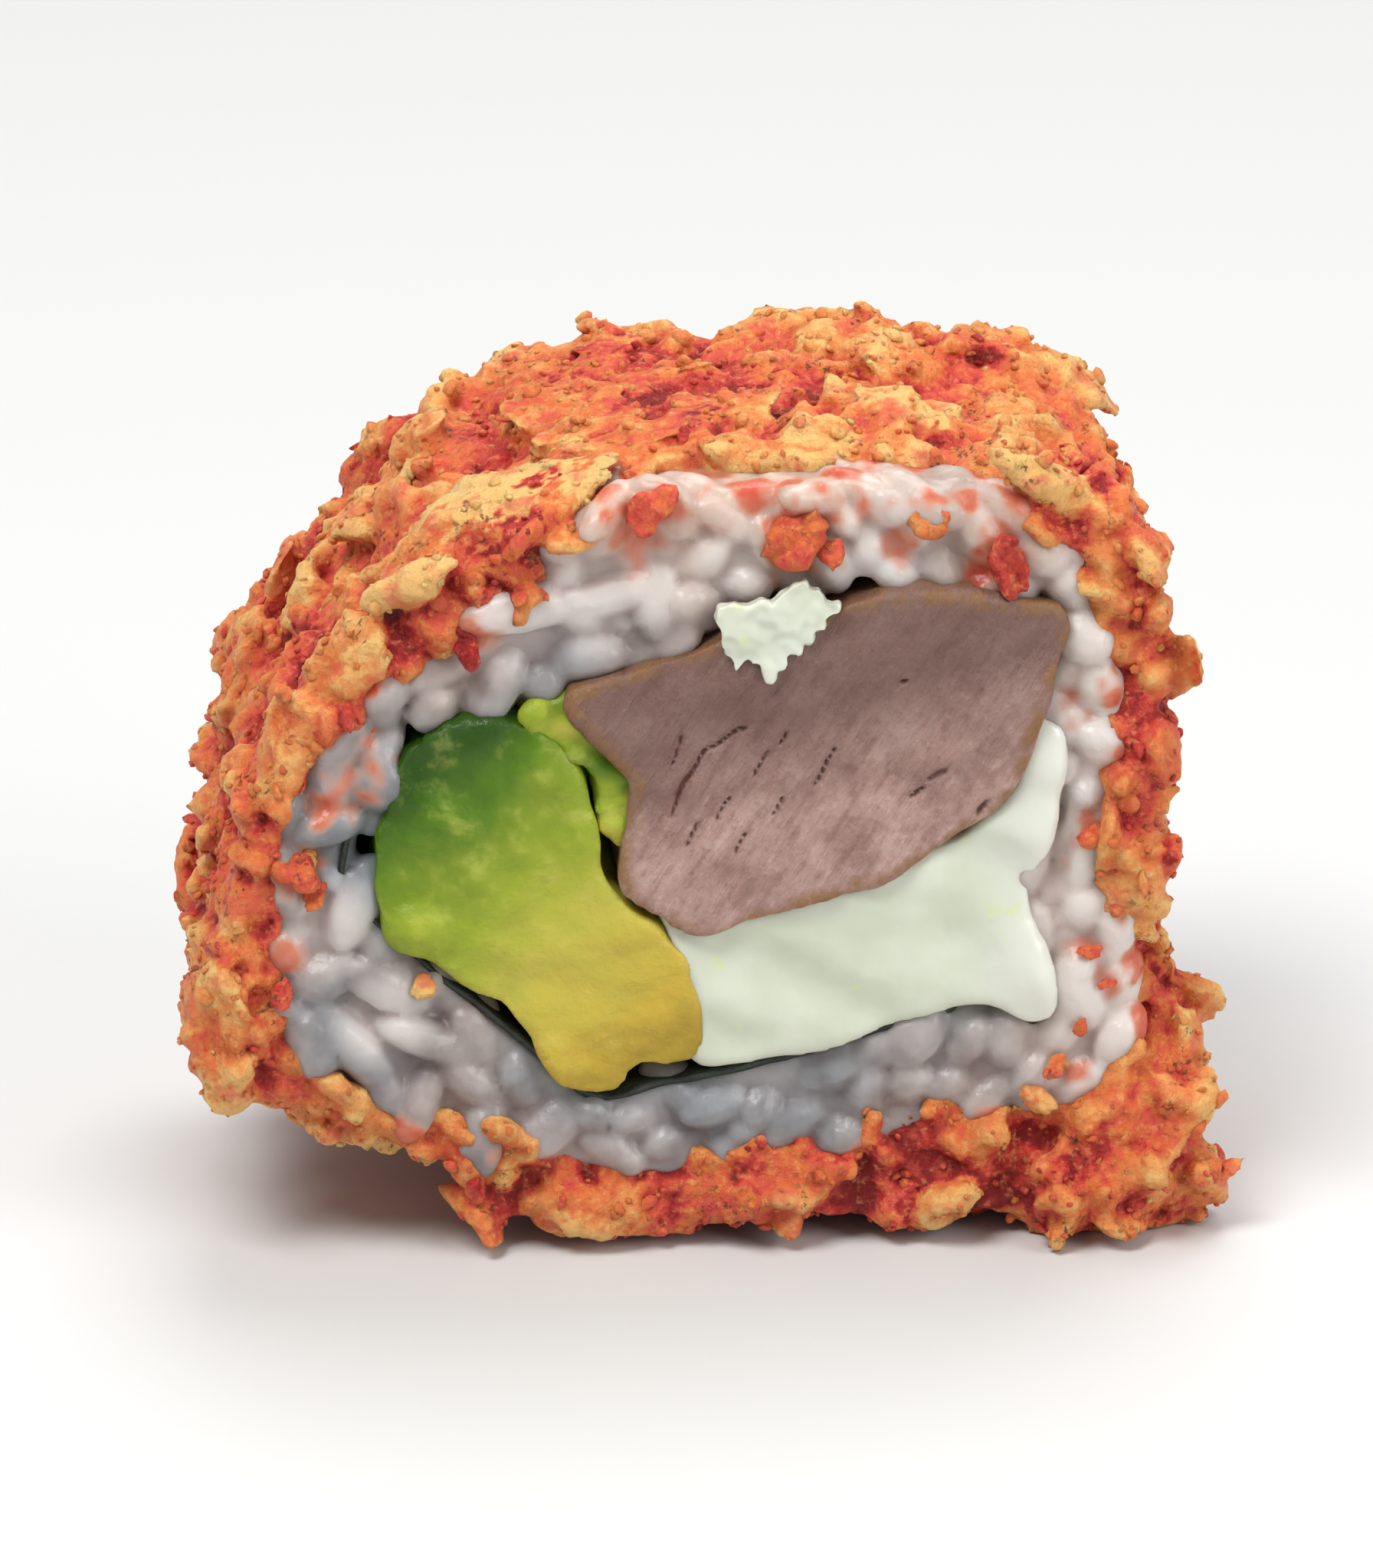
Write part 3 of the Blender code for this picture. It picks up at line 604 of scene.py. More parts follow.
class Heap:
    """Many small shapes gathered into one mesh, with a tone for each."""

    def __init__(self):
        self.vertices = []
        self.faces = []
        self.tones = []
        self.count = 0

    def add(self, vertices, faces, tone=0.5):
        self.vertices.append(vertices)
        self.faces.append(faces + self.count)
        self.tones.append(np.full(len(vertices), tone))
        self.count += len(vertices)

    def build(self, name):
        piece = make_object(name, np.concatenate(self.vertices), np.concatenate(self.faces))
        set_value(piece, "tone", np.concatenate(self.tones))
        return piece

    def build_turned(self, name):
        self.vertices = [turned(part) for part in self.vertices]
        return self.build(name)


def crumb_shape(rng, size, ball):
    """One crumb: a small ball pushed out of shape, lumpy, with a few blunt sides."""
    points = ball[0] * (1 + 0.38 * soft_noise(ball[0], 0.9, rng.uniform(0, 90)))[:, None]
    for _ in range(3):
        way = unit(rng.normal(size=3))
        over = np.maximum(points @ way - rng.uniform(0.5, 0.8), 0)
        points -= 0.8 * over[:, None] * way
    return points * rng.uniform(0.5, 1.0, 3) * (1.3, 1.05, 0.8) * size / 2, ball[1]


def ball_shape(subdivisions):
    """The points and triangles of a small ball of radius one."""
    shape = bmesh.new()
    bmesh.ops.create_icosphere(shape, subdivisions=subdivisions, radius=1.0)
    vertices = np.array([tuple(vertex.co) for vertex in shape.verts])
    faces = np.array([[vertex.index for vertex in face.verts] for face in shape.faces])
    shape.free()
    return vertices, faces


# Flake kinds: count, length range, thickness, sides, rings, tilt, spacing, and if they keep off the cuts
FLAKES = (
    (50, (4.2, 6.6), 1.15, 28, 5, 0.24, 4.0, True),
    (210, (2.8, 4.4), 1.05, 20, 4, 0.32, 2.2, True),
    (520, (1.5, 2.7), 0.90, 14, 3, 0.45, 1.25, False),
)

# Crumb kinds: count, size range, and how finely each is made
FUSED_CRUMBS = (420, (1.2, 2.2), 2)
LOOSE_CRUMBS = ((600, (0.55, 1.1), 2), (4200, (0.25, 0.6), 1))

# Flakes that stand out: direction round the roll and the direction the flake faces, in degrees, depth
# along the roll, length, width, turn in degrees, how much it leans to the front cut, lift and tone
CHOSEN_FLAKES = (
    (121, 106, -7.6, 9.8, 5.2, 3, 0.75, 1.8, 1.0), (93, 93, -3.6, 9.0, 4.4, 36, 0.6, 0.5, 0.60),
    (99, 99, -3.6, 7.0, 1.2, 40, 0.6, 0.6, -0.05), (137, 137, -10.6, 5.2, 1.7, 4, 0.8, 0.5, 0.78),
    (134, 134, -9.0, 4.4, 3.0, 25, 0.6, 0.6, 0.52), (150, 150, -10.0, 5.6, 3.4, 25, 0.8, 0.3, 0.48),
    (163, 163, -10.0, 5.6, 3.2, 75, 0.8, 0.3, 0.44), (-165, -165, -10.2, 5.6, 4.2, 60, 0.8, 0.2, 0.50),
    (-157, -157, -10.4, 4.2, 2.8, 80, 0.8, 0.2, 0.54), (73, 73, -2.4, 3.8, 2.6, 80, 0.6, 0.6, 0.44),
    (67, 67, -3.2, 4.8, 2.6, -30, 0.5, 0.6, 0.82), (77, 77, -6.0, 4.6, 2.8, -8, 0.4, 0.5, 0.78),
    (86, 86, -7.2, 5.8, 2.2, -6, 0.6, 0.4, 0.54), (52, 52, -10.0, 5.8, 2.0, -18, 0.8, 0.5, 0.66),
    (46, 46, -8.4, 2.4, 1.9, 30, 0.4, 0.9, 0.02), (40, 40, -9.8, 4.6, 2.0, -50, 0.8, 0.3, 0.20),
    (-62, -62, -10.8, 4.0, 2.4, 70, 0.8, 0.2, 0.50), (-113, -113, -10.2, 5.6, 2.2, -8, 0.5, 0.2, 0.50),
)
CHOSEN_THICK = 1.2 * MM

# How much these flakes bend over the roll's edge, in millimetres for each square millimetre
CHOSEN_BEND = 0.09


def place_shape(vertices, axes, place):
    """Put a shape's own axes along these columns, at this place."""
    return vertices @ axes.T + place


def chosen_flakes(rng, heap):
    """The flakes that stand out, each on the coating's own outline."""
    for degrees, facing, depth, length, width, turn, lean, lift, tone in CHOSEN_FLAKES:
        angle = math.radians(degrees)
        place = in_ring(angle, OUTER.at(angle), depth * MM)
        up = unit(np.array([math.cos(math.radians(facing)), -lean, math.sin(math.radians(facing))]))
        level = unit(np.array([1.0, 0.0, 0.0]) - up[0] * up)
        turn = math.radians(turn)
        along = level * math.cos(turn) + np.cross(up, level) * math.sin(turn)
        axes = np.stack([along, np.cross(up, along), up], axis=1)
        shape, faces = flake_shape(rng, length * MM, width * MM, CHOSEN_THICK, 36, 6)
        shape[:, 2] -= CHOSEN_BEND / MM * shape[:, 1] ** 2
        heap.add(keep_in_box(place_shape(shape, axes, place + up * lift * MM)), faces, tone)


def scatter_flakes(rng, heap, surface):
    """Flakes all over the coating, half sunk in it, the largest first."""
    for count, lengths, thick, sides, rings, tilt, spacing, sides_only in FLAKES:
        places, normals = surface.pick(rng, count, spacing * MM, sides_only)
        tones = crust_tone(places) + rng.normal(0.04, 0.14, len(places))
        for place, normal, tone in zip(places, normals, tones):
            length = rng.uniform(*lengths) * MM
            width = length * rng.uniform(0.55, 0.95)
            shape, faces = flake_shape(rng, length, width, thick * MM, sides, rings)
            axes = frame_for(rng, layered(rng, place, normal), tilt)
            lift = rng.uniform(-0.15, 0.4) * MM
            heap.add(keep_in_box(place_shape(shape, axes, place + axes[:, 2] * lift)), faces, tone)


def scatter_crumbs(rng, heap, surface, tone_at, count, sizes, fineness):
    """Crumbs all over the coating, half sunk in it, in its own colours."""
    ball = ball_shape(fineness)
    places, normals = surface.pick(rng, count)
    tones = tone_at(places) + rng.normal(0.02, 0.07, len(places))
    for place, normal, tone in zip(places, normals, tones):
        size = rng.uniform(*sizes) * MM
        shape, faces = crumb_shape(rng, size, ball)
        axes = frame_for(rng, normal, 1.0)
        lift = normal * size * rng.uniform(-0.15, 0.15)
        heap.add(keep_in_box(place_shape(shape, axes, place + lift)), faces, tone)


# Rounds of smoothing that tell a surface's hollows from what stands out of it, and the span between
# the two on the coating and on the rice
RELIEF_ROUNDS = 60
CRUST_RELIEF = 1.3 * MM
RICE_RELIEF = 0.9 * MM


def relief_of(piece, span):
    """How far each point stands out of its surroundings: 0 in the hollows and 1 on top, over a span."""
    points = points_of(piece)
    count = len(points)
    ends = read(piece.data.edges, "vertices", 2, np.int32)
    near, far = ends.T
    neighbours = np.maximum(np.bincount(ends.ravel(), minlength=count), 1)
    soft = points.copy()
    for _ in range(RELIEF_ROUNDS):
        for axis in range(3):
            line = soft[:, axis]
            line = np.bincount(near, line[far], count) + np.bincount(far, line[near], count)
            soft[:, axis] = line / neighbours
    return share_of(0.5 + np.sum((points - soft) * normals_of(piece), axis=1) / span)


def build_crust():
    """The coating: a moist crumbly body with flakes and large crumbs sunk in it, all fused."""
    rng = np.random.default_rng(31)
    crust = build_coating_base()
    clump = build_clump()
    surface = Surface(crust, clump)
    heap = Heap()
    chosen_flakes(rng, heap)
    scatter_flakes(rng, heap, surface)
    scatter_crumbs(rng, heap, surface, crust_tone, *FUSED_CRUMBS)
    join(crust, clump)
    join(crust, heap.build("flakes"))
    tone_at = tones_of(crust)
    remesh(crust, CRUST_VOXEL, 1, 0.35)
    drop_inner_wall(crust)
    trim_spikes(crust)
    points = points_of(crust)
    set_value(crust, "tone", tone_at(points))
    push_out(crust, noises(points, (0.6, 0.15, 71), (1.2, 0.12, 72)))
    set_value(crust, "height", relief_of(crust, CRUST_RELIEF))
    return crust


# How far the coating stands out of its skin before it is drawn in: at the floor and higher up, with
# the share of the rest that stays, and the foot of the right side, where the clump is left alone
SPIKE_HEIGHTS = ((1.0, 1.0), (5.0, 1.5))
SPIKE_KEPT = 0.25
CLUMP_LEFT = 15.0 * MM
CLUMP_TOP = 11.0 * MM


def trim_spikes(crust):
    """Draw in whatever stands far out of the coating's outline, but for the clump."""
    points = points_of(crust)
    across, reach, angle = about_axis(points)
    heights, limits = zip(*SPIKE_HEIGHTS)
    limit = OUTER.at(angle) + np.interp(points[:, 2] / MM, heights, limits) * MM
    drawn_in = 1 - (1 - SPIKE_KEPT) * np.maximum(reach - limit, 0) / reach
    trimmed = points.copy()
    trimmed[:, (0, 2)] = AXIS + across * drawn_in[:, None]
    sole = 0.6 * FOOT_LIFT * near_front(points, FOOT_REACH) ** 2
    trimmed[:, 2] += (1 - SPIKE_KEPT) * np.maximum(sole - trimmed[:, 2], 0)
    clump = (points[:, 0] > CLUMP_LEFT) & (points[:, 2] < CLUMP_TOP)
    move_points(crust, np.where(clump[:, None], points, trimmed))


def tones_of(crust):
    """A way to look up the tone of this mesh's point nearest to any place."""
    places = points_of(crust)
    tones = read(crust.data.attributes["tone"].data, "value", 1)[:, 0]
    tree = kdtree.KDTree(len(places))
    for index, place in enumerate(places):
        tree.insert(place, index)
    tree.balance()
    return lambda points: tones[[tree.find(point)[1] for point in points]]


def polar(piece):
    """Each point's direction round the straight roll, distance from its axis, depth and facing outwards."""
    flat = straight(points_of(piece))
    across, reach, angle = about_axis(flat)
    outwards = np.sum(normals_of(piece)[:, (0, 2)] * across, axis=1) / reach
    return angle, reach, flat[:, 1], outwards


# How far behind the front cut or rim, and before the back cut, the covered walls are out of sight
COATING_WALL = (1.2 * MM, 2.4 * MM)
RICE_INNER_WALL = (3.0 * MM, 3.0 * MM)
RICE_OUTER_WALL = (1.8 * MM, 3.0 * MM)


def out_of_sight(depth, front, wall):
    """Which of these depths lie well inside the roll."""
    return (depth > front + wall[0]) & (depth < FACE_BACK - wall[1])


def drop_inner_wall(crust):
    """Leave out the coating's inner wall, which lies against the rice."""
    angle, reach, depth, outwards = polar(crust)
    inner = (reach < RICE_EDGE.at(angle) + 0.1 * MM) & (outwards < 0)
    drop_points(crust, inner & out_of_sight(depth, front_rim(angle), COATING_WALL))


def drop_covered_rice(rice):
    """Leave out the rice's walls under the nori and the coating."""
    angle, reach, depth, outwards = polar(rice)
    inner = (reach < NORI.at(angle) + 0.5 * MM) & (outwards < 0.2)
    inner &= out_of_sight(depth, FACE_FRONT, RICE_INNER_WALL)
    outer = (reach > RICE_EDGE.at(angle) - 1.0 * MM) & out_of_sight(depth, front_rim(angle), RICE_OUTER_WALL)
    drop_points(rice, inner | outer)


def build_crumbs(crust):
    """Fine crumbs on the coating."""
    rng = np.random.default_rng(32)
    heap = Heap()
    tone_at = tones_of(crust)
    for kind in LOOSE_CRUMBS:
        scatter_crumbs(rng, heap, Surface(crust), tone_at, *kind)
    crumbs = heap.build("coating_crumbs")
    set_value(crumbs, "height", 0.58)
    return crumbs


# Clump of coating that juts out at the foot of the right side: x, y, z and radius
CLUMP = (
    (18.8, -9.8, 3.2, 3.0), (20.9, -8.8, 2.7, 2.6), (20.2, -8.6, 6.6, 2.5), (16.8, -10.2, 2.2, 2.3),
    (19.4, -5.0, 4.0, 3.0), (20.9, -7.2, 9.2, 1.6), (21.8, -9.6, 5.4, 1.5), (18.4, -10.8, 5.6, 1.6),
)


def build_clump():
    """The clump at the right foot, in crumbs fused together."""
    rng = np.random.default_rng(33)
    heap = Heap()
    points, faces = ball_shape(3)
    for x, y, z, radius in CLUMP:
        place = np.array([x, y, z]) * MM
        heap.add(points * radius * MM + place, faces)
        for _ in range(9):
            way = unit(rng.normal(size=3))
            size = rng.uniform(0.5, 1.0) * MM
            heap.add(points * size + place + way * radius * MM, faces)
    clump = heap.build("clump")
    remesh(clump, CRUST_VOXEL, 1)
    roughen_crust(clump, 5)
    return clump


def grain_shape(rng, length, width):
    """One cooked rice grain along its own X: blunt ends, slightly bent and flattened."""
    sides = 10
    shares = np.array([0.0, 0.04, 0.14, 0.30, 0.5, 0.70, 0.86, 0.96, 1.0])
    girth = np.sin(math.pi * shares) ** 0.45
    bend = rng.uniform(-0.5, 0.5) * MM
    flat = rng.uniform(0.78, 0.95)
    angles = circle(sides)
    vertices = []
    for share, size in zip(shares[1:-1], girth[1:-1]):
        reach = size * width / 2 * (1 + rng.uniform(-0.05, 0.05))
        y = reach * np.cos(angles) + bend * (1 - (2 * share - 1) ** 2)
        x = np.full(sides, (share - 0.5) * length)
        vertices.append(np.stack([x, y, flat * reach * np.sin(angles)], axis=1))
    rows = len(vertices)
    vertices.append(np.array([[-length / 2, 0, 0], [length / 2, 0, 0]]))
    faces = [split(grid_faces(sides, rows)), fan(0, sides, rows * sides)[:, ::-1]]
    faces.append(fan((rows - 1) * sides, sides, rows * sides + 1))
    return np.concatenate(vertices), np.concatenate(faces)


# Grains that stand out at the front cut: x, z, how proud of the cut, length, width, slope in the face
CHOSEN_GRAINS = (
    (-8.4, 31.2, 0.9, 6.2, 2.3, 0.1), (-4.0, 32.2, 0.7, 6.0, 2.2, 0.18), (-11.6, 28.6, 0.3, 4.4, 2.2, 0.5),
    (-3.2, 28.6, -0.2, 5.4, 2.2, 0.1), (-16.4, 25.0, 0.5, 3.8, 2.5, 0.9), (-14.9, 22.9, 0.7, 3.6, 2.6, -0.5),
    (-17.3, 21.2, 0.5, 4.0, 2.5, 0.2), (-15.9, 17.4, 0.6, 4.8, 2.6, 1.2), (-17.4, 14.2, 0.4, 4.2, 2.6, 0.4),
    (-14.6, 13.6, 0.5, 5.4, 2.5, -0.5), (-18.2, 10.6, 0.6, 4.4, 2.4, -1.3),
    (-15.8, 10.2, 0.8, 5.2, 2.5, -0.9), (-12.8, 10.8, 0.4, 5.6, 2.4, -0.4), (-13.2, 7.6, 0.7, 4.2, 2.4, 1.2),
    (-10.6, 8.4, 0.5, 4.6, 2.4, -0.8), (-10.0, 5.9, 0.6, 4.2, 2.4, 1.4), (-7.4, 6.4, 0.5, 4.6, 2.3, 0.7),
    (14.8, 18.6, 0.2, 4.2, 2.4, 1.3), (14.7, 15.2, 0.2, 4.2, 2.4, 1.7), (15.0, 21.6, 0.1, 3.8, 2.2, 1.2),
)

# Grains of a cut lie in two layers: how far apart they are, and the range of how proud they stand
GRAIN_LAYERS = ((1.85, (0.05, 0.5)), (1.8, (-0.5, -0.2)))
GRAIN_TRIES = 3200

# How far the rice stays outside the middle of the nori, by direction in degrees
RICE_CLEARANCE = (
    (-180, 0.1), (-166, -0.5), (-152, 0.3), (-140, 0.5), (-44, 0.5), (-30, -0.4), (-18, -1.4), (8, -1.5),
    (25, -0.9), (45, -0.3), (75, -0.4), (120, -0.6), (150, -1.1), (170, -1.0), (180, 0.1),
)

# The middles of the grains at the cuts stay this far inside the rice's edge
RICE_EDGE_INSET = 0.9 * MM

# Grains on the rice's outer side, where the coating has broken away: how far apart, and how deep
SHELF_SPACING = 1.8 * MM
SHELF_INSET = 0.8 * MM
SHELF_TRIES = 900


def by_direction(angle, table):
    """A value in millimetres that a table gives by direction round the roll, in degrees."""
    degrees, values = zip(*table)
    return np.interp(np.degrees(angle), degrees, values) * MM


def direction(aim, slope):
    """The direction at this angle round the axis, tipped by a slope along it."""
    return np.array([math.cos(aim) * math.cos(slope), math.sin(slope), math.sin(aim) * math.cos(slope)])


def add_grain(rng, heap, place, along, length, width):
    """One grain that lies along this direction; its points are returned."""
    along = unit(along)
    other = unit(np.cross(along, rng.normal(size=3)))
    shape, faces = grain_shape(rng, length * MM, width * MM)
    shape = place_shape(shape, np.stack([along, other, np.cross(along, other)], axis=1), place)
    heap.add(shape, faces)
    return shape


def face_grains(rng, heap, y, way, chosen):
    """Grains over the rice of one cut, in two layers, with the chosen ones in front."""
    taken = []
    for x, z, proud, length, width, slope in chosen:
        place = np.array([x * MM, y + way * (proud - width / 2) * MM, z * MM])
        add_grain(rng, heap, place, np.array([math.cos(slope), 0.12, math.sin(slope)]), length, width)
        taken.append(place)
    for spacing, proud_range in GRAIN_LAYERS:
        for _ in range(GRAIN_TRIES):
            angle = rng.uniform(-math.pi, math.pi)
            inner = NORI.at(angle) + by_direction(angle, RICE_CLEARANCE)
            outer = RICE_EDGE.at(angle) - RICE_EDGE_INSET
            reach = rng.uniform(inner, max(outer, inner + 0.1 * MM))
            place = in_ring(angle, reach, y)
            if any(np.hypot(*(place - other)[[0, 2]]) < spacing * MM for other in taken):
                continue
            taken.append(place)
            sway = np.interp(min(reach - inner, outer - reach) / MM, (0, 2.4), (0.25, 1.57))
            aim = angle + math.pi / 2 + rng.uniform(-1, 1) * sway
            along = direction(aim, rng.normal(0, 0.55))
            length = rng.uniform(2.9, 4.6) * (0.85 if outer - inner < 3.5 * MM else 1.0)
            shape = add_grain(rng, heap, place, along, length, rng.uniform(2.2, 2.9))
            proud = rng.uniform(*proud_range)
            shape[:, 1] += way * (proud * MM - np.max((shape[:, 1] - y) * way))
        taken = []


def shelf_grains(rng, heap):
    """Grains on the rice's outer side, where the coating's front rim has broken away."""
    for middle, half, _ in BROKEN_RIMS:
        taken = []
        for _ in range(SHELF_TRIES):
            angle = middle + rng.uniform(-1, 1) * half
            depth = rng.uniform(FACE_FRONT + 0.6 * MM, front_rim(angle) + 0.8 * MM)
            place = in_ring(angle, RICE_EDGE.at(angle) - SHELF_INSET, depth)
            if any(np.linalg.norm(place - other) < SHELF_SPACING for other in taken):
                continue
            taken.append(place)
            along = direction(angle + math.pi / 2, rng.normal(0, 0.5))
            add_grain(rng, heap, place, along, rng.uniform(3.6, 5.4), rng.uniform(2.0, 2.5))


def ring_body(front, back):
    """A plain ring of rice between two depths: its points and triangles."""
    angles = circle(RING_COLUMNS) - math.pi
    rows = []
    for reach in (RICE_EDGE.at(angles), NORI.at(angles) + 0.15 * MM):
        rows += [in_ring(angles, reach, depth) for depth in np.linspace(front, back, 4)]
        front, back = back, front
    rows.append(rows[0])
    return np.concatenate(rows), split(grid_faces(RING_COLUMNS, len(rows)))


# The rice is fine near its cuts only; a plain ring joins the two parts, out of sight
RICE_INSET = 0.5 * MM
RICE_FINE_FRONT = 6.4 * MM
RICE_FINE_BACK = 3.4 * MM
RICE_LAP = 0.8 * MM


def build_rice():
    """The ring of rice: grains at both cuts over a core, fused as sticky rice is."""
    rng = np.random.default_rng(41)
    heap = Heap()
    heap.add(*ring_body(FACE_FRONT + RICE_INSET, FACE_FRONT + RICE_FINE_FRONT))
    heap.add(*ring_body(FACE_BACK - RICE_FINE_BACK, FACE_BACK - RICE_INSET))
    face_grains(rng, heap, FACE_FRONT, -1, CHOSEN_GRAINS)
    face_grains(rng, heap, FACE_BACK, 1, ())
    shelf_grains(rng, heap)
    rice = heap.build_turned("rice_grains")
    weld(rice)
    remesh(rice, RICE_VOXEL, 1, 0.3)
    push_out(rice, noises(points_of(rice), (0.8, 0.05, 45), (2.2, 0.08, 46)))
    set_value(rice, "crest", relief_of(rice, RICE_RELIEF))
    drop_covered_rice(rice)
    middle = Heap()
    middle.add(*ring_body(FACE_FRONT + RICE_FINE_FRONT - RICE_LAP, FACE_BACK - RICE_FINE_BACK + RICE_LAP))
    join(rice, middle.build_turned("rice_middle"))
    colour_rice(rice)
    return rice


# Pink stains on the rice of the front cut: x, z, radius and strength
PINK_SPOTS = (
    (17.5, 19.9, 1.1, 0.75), (17.4, 14.5, 0.9, 0.5), (18.4, 12.8, 0.8, 0.55), (-16.6, 23.2, 1.5, 0.75),
    (-15.2, 24.4, 1.0, 0.6), (-19.0, 19.1, 1.4, 0.7), (-10.6, 30.0, 1.1, 0.6), (4.3, 34.5, 1.8, 0.85),
    (-3.4, 35.0, 1.7, 0.6), (13.3, 33.0, 1.6, 0.9), (8.6, 33.8, 1.0, 0.5), (16.8, 26.6, 1.0, 0.6),
    (-19.4, 15.4, 1.2, 0.6), (17.0, 8.2, 0.9, 0.55),
)

# Whiter grains at the front cut: x, z and radius
MILKY_SPOTS = (
    (-9.0, 31.2, 2.4), (-5.6, 31.9, 2.2), (-2.4, 32.6, 1.8), (1.0, 33.4, 1.8), (8.0, 33.2, 2.4),
    (-15.0, 12.0, 1.8), (-17.0, 16.6, 1.8),
)


def colour_rice(rice):
    """Say where the rice is stained by the coating, where painted light makes it warmer and whiter, and where
    its grains are whiter.
    """
    points = points_of(rice)
    flat = straight(points)
    _, reach, angle = about_axis(flat)
    top = rise(flat[:, 2], 31, 35)
    right = rise(flat[:, 0], 14, 17)
    blotch = noises(points, (1.9, 1.0, 8), (0.8, 0.5, 48))
    inwards = (RICE_EDGE.at(angle) - reach) / ((0.8 + 1.4 * top + 0.4 * right) * MM)
    tint = 0.75 * share_of(1.15 - inwards) * share_of(0.25 + 1.8 * blotch)
    for x, z, size, strength in PINK_SPOTS:
        spot = share_of(1.2 - face_distance(flat, x, z, size) - 1.1 * blotch)
        tint = np.maximum(tint, 0.9 * strength * (flat[:, 1] < FACE_FRONT + 2.5 * MM) * spot)
    set_value(rice, "tint", tint)
    # Painted light and shade: warm, lit rice towards the right and the top, cool, shaded rice elsewhere
    warm = 0.25 + 0.75 * right + 0.75 * top + 0.5 * soft_noise(points, 5.0 * MM, 47)
    set_value(rice, "warm", share_of(warm))
    # Whiter towards the right, which is painted light; the spots below are whiter grains
    milky_and_lit = share_of(right + 0.1 * top)
    for x, z, size in MILKY_SPOTS:
        spot = share_of(1.5 - face_distance(flat, x, z, size))
        milky_and_lit = np.maximum(milky_and_lit, (flat[:, 1] < FACE_FRONT + 1.0 * MM) * spot)
    set_value(rice, "milky_and_lit", milky_and_lit)


# How far the nori's edges lie behind the cuts, by direction in degrees
NORI_RECESS = ((-180, 0.2), (-150, 0.2), (-42, 0.3), (-28, 0.9), (0, 1.6), (150, 1.6), (166, 0.6), (180, 0.2))
NORI_BACK_RECESS = 0.25 * MM
NORI_THICK = 0.30 * MM


def build_nori():
    """The thin dark sheet, slightly wavy, with uneven cut edges."""
    angles = circle(NORI_COLUMNS) - math.pi
    round_roll = np.stack([np.cos(angles), np.zeros(NORI_COLUMNS), np.sin(angles)], axis=1)
    ragged = soft_noise(round_roll, 0.11, 9) * 0.35 * MM
    wave = soft_noise(round_roll, 0.25, 10) * 0.15 * MM
    recess = by_direction(angles, NORI_RECESS)
    front = FACE_FRONT + recess + ragged
    back = FACE_BACK - NORI_BACK_RECESS - recess + ragged
    shares = np.linspace(0, 1, NORI_ROWS)
    rows = [
        in_ring(angles, NORI.at(angles) + wave + side * NORI_THICK / 2, front + (back - front) * share)
        for side in (1, -1) for share in shares[::side]
    ]
    rows.append(rows[0])
    nori = make_object("nori_sheet", turned(np.concatenate(rows)), grid_faces(NORI_COLUMNS, len(rows)))
    weld(nori)
    face_outwards(nori)
    return nori


def filling_body(name, corners, front, back, grow, voxel=FILLING_VOXEL, smoothing=6, step=0.5 * MM):
    """A filling drawn out past both cuts, with its points as they are and as in the straight roll."""
    line = even(rounded(corners), step)
    line = line + outwards_of(line) * grow * MM
    count = len(line)
    depths = np.linspace(FACE_FRONT - front * MM, FACE_BACK + back * MM, FILLING_ROWS)
    rows = [np.stack([line[:, 0], np.full(count, depth), line[:, 1]], axis=1) for depth in depths]
    ends = [list(range(count)), list(range(count * (FILLING_ROWS - 1), count * FILLING_ROWS))]
    body = make_object(name, turned(np.concatenate(rows)), grid_faces(count, FILLING_ROWS).tolist() + ends)
    face_outwards(body)
    remesh(body, voxel, smoothing)
    points = points_of(body)
    return body, points, straight(points)


def segment_distance(points, start, end):
    """Distance in the face from each point to a straight line between two (x, z) places."""
    start = np.array(start) * MM
    run = np.array(end) * MM - start
    flat = points[:, (0, 2)] - start
    share = share_of(flat @ run / (run @ run))
    return np.linalg.norm(flat - share[:, None] * run, axis=1)


def front_only(points):
    """1 at the front cut, fading to 0 behind it."""
    return share_of(1.3 - (points[:, 1] - FACE_FRONT) / (1.2 * MM))


def build_avocado():
    """The large piece of avocado: soft, dented and slightly torn at the cut."""
    body, points, flat = filling_body("avocado_flesh", AVOCADO, 0.5, 0.4, 0.25)
    tears, _ = cells(flat, 1.3 * MM, 13)
    green_side = rise(flat[:, 2] - flat[:, 0], 31, 37)
    crumbly = share_of(1.3 - face_distance(flat, -4.6, 9.2, 2.6))
    lump = share_of(1 - face_distance(flat, -13.3, 16.4, 1.7))
    height = noises(flat, (4.2, 0.50, 11), (1.7, 0.26, 12)) + 0.7 * lump * front_only(points)
    push_out(body, height - 0.22 * (1 - tears) * np.maximum(green_side, crumbly))
    along = (flat[:, 0] * 0.62 - flat[:, 2] * 0.78) / MM
    skin = rise(flat[:, 2] - 0.7 * flat[:, 0], 30.6, 33.6)
    set_value(body, "ripe", share_of((along + 28.0) / 21.0 + 0.10 * lump - 0.10 * skin))
    return body


def build_sliver():
    """The thin smear of avocado between the large piece and the meat."""
    body, _, flat = filling_body("avocado_smear", SLIVER, 0.2, -0.3, 0.45)
    push_out(body, noises(flat, (1.6, 0.4, 14), (0.7, 0.2, 15)))
    set_value(body, "ripe", share_of(0.42 + 0.4 * soft_noise(flat, 1.4 * MM, 16)))
    return body


# The meat's fibres rise to the right at this slope
FIBRE_SLOPE = math.radians(58)

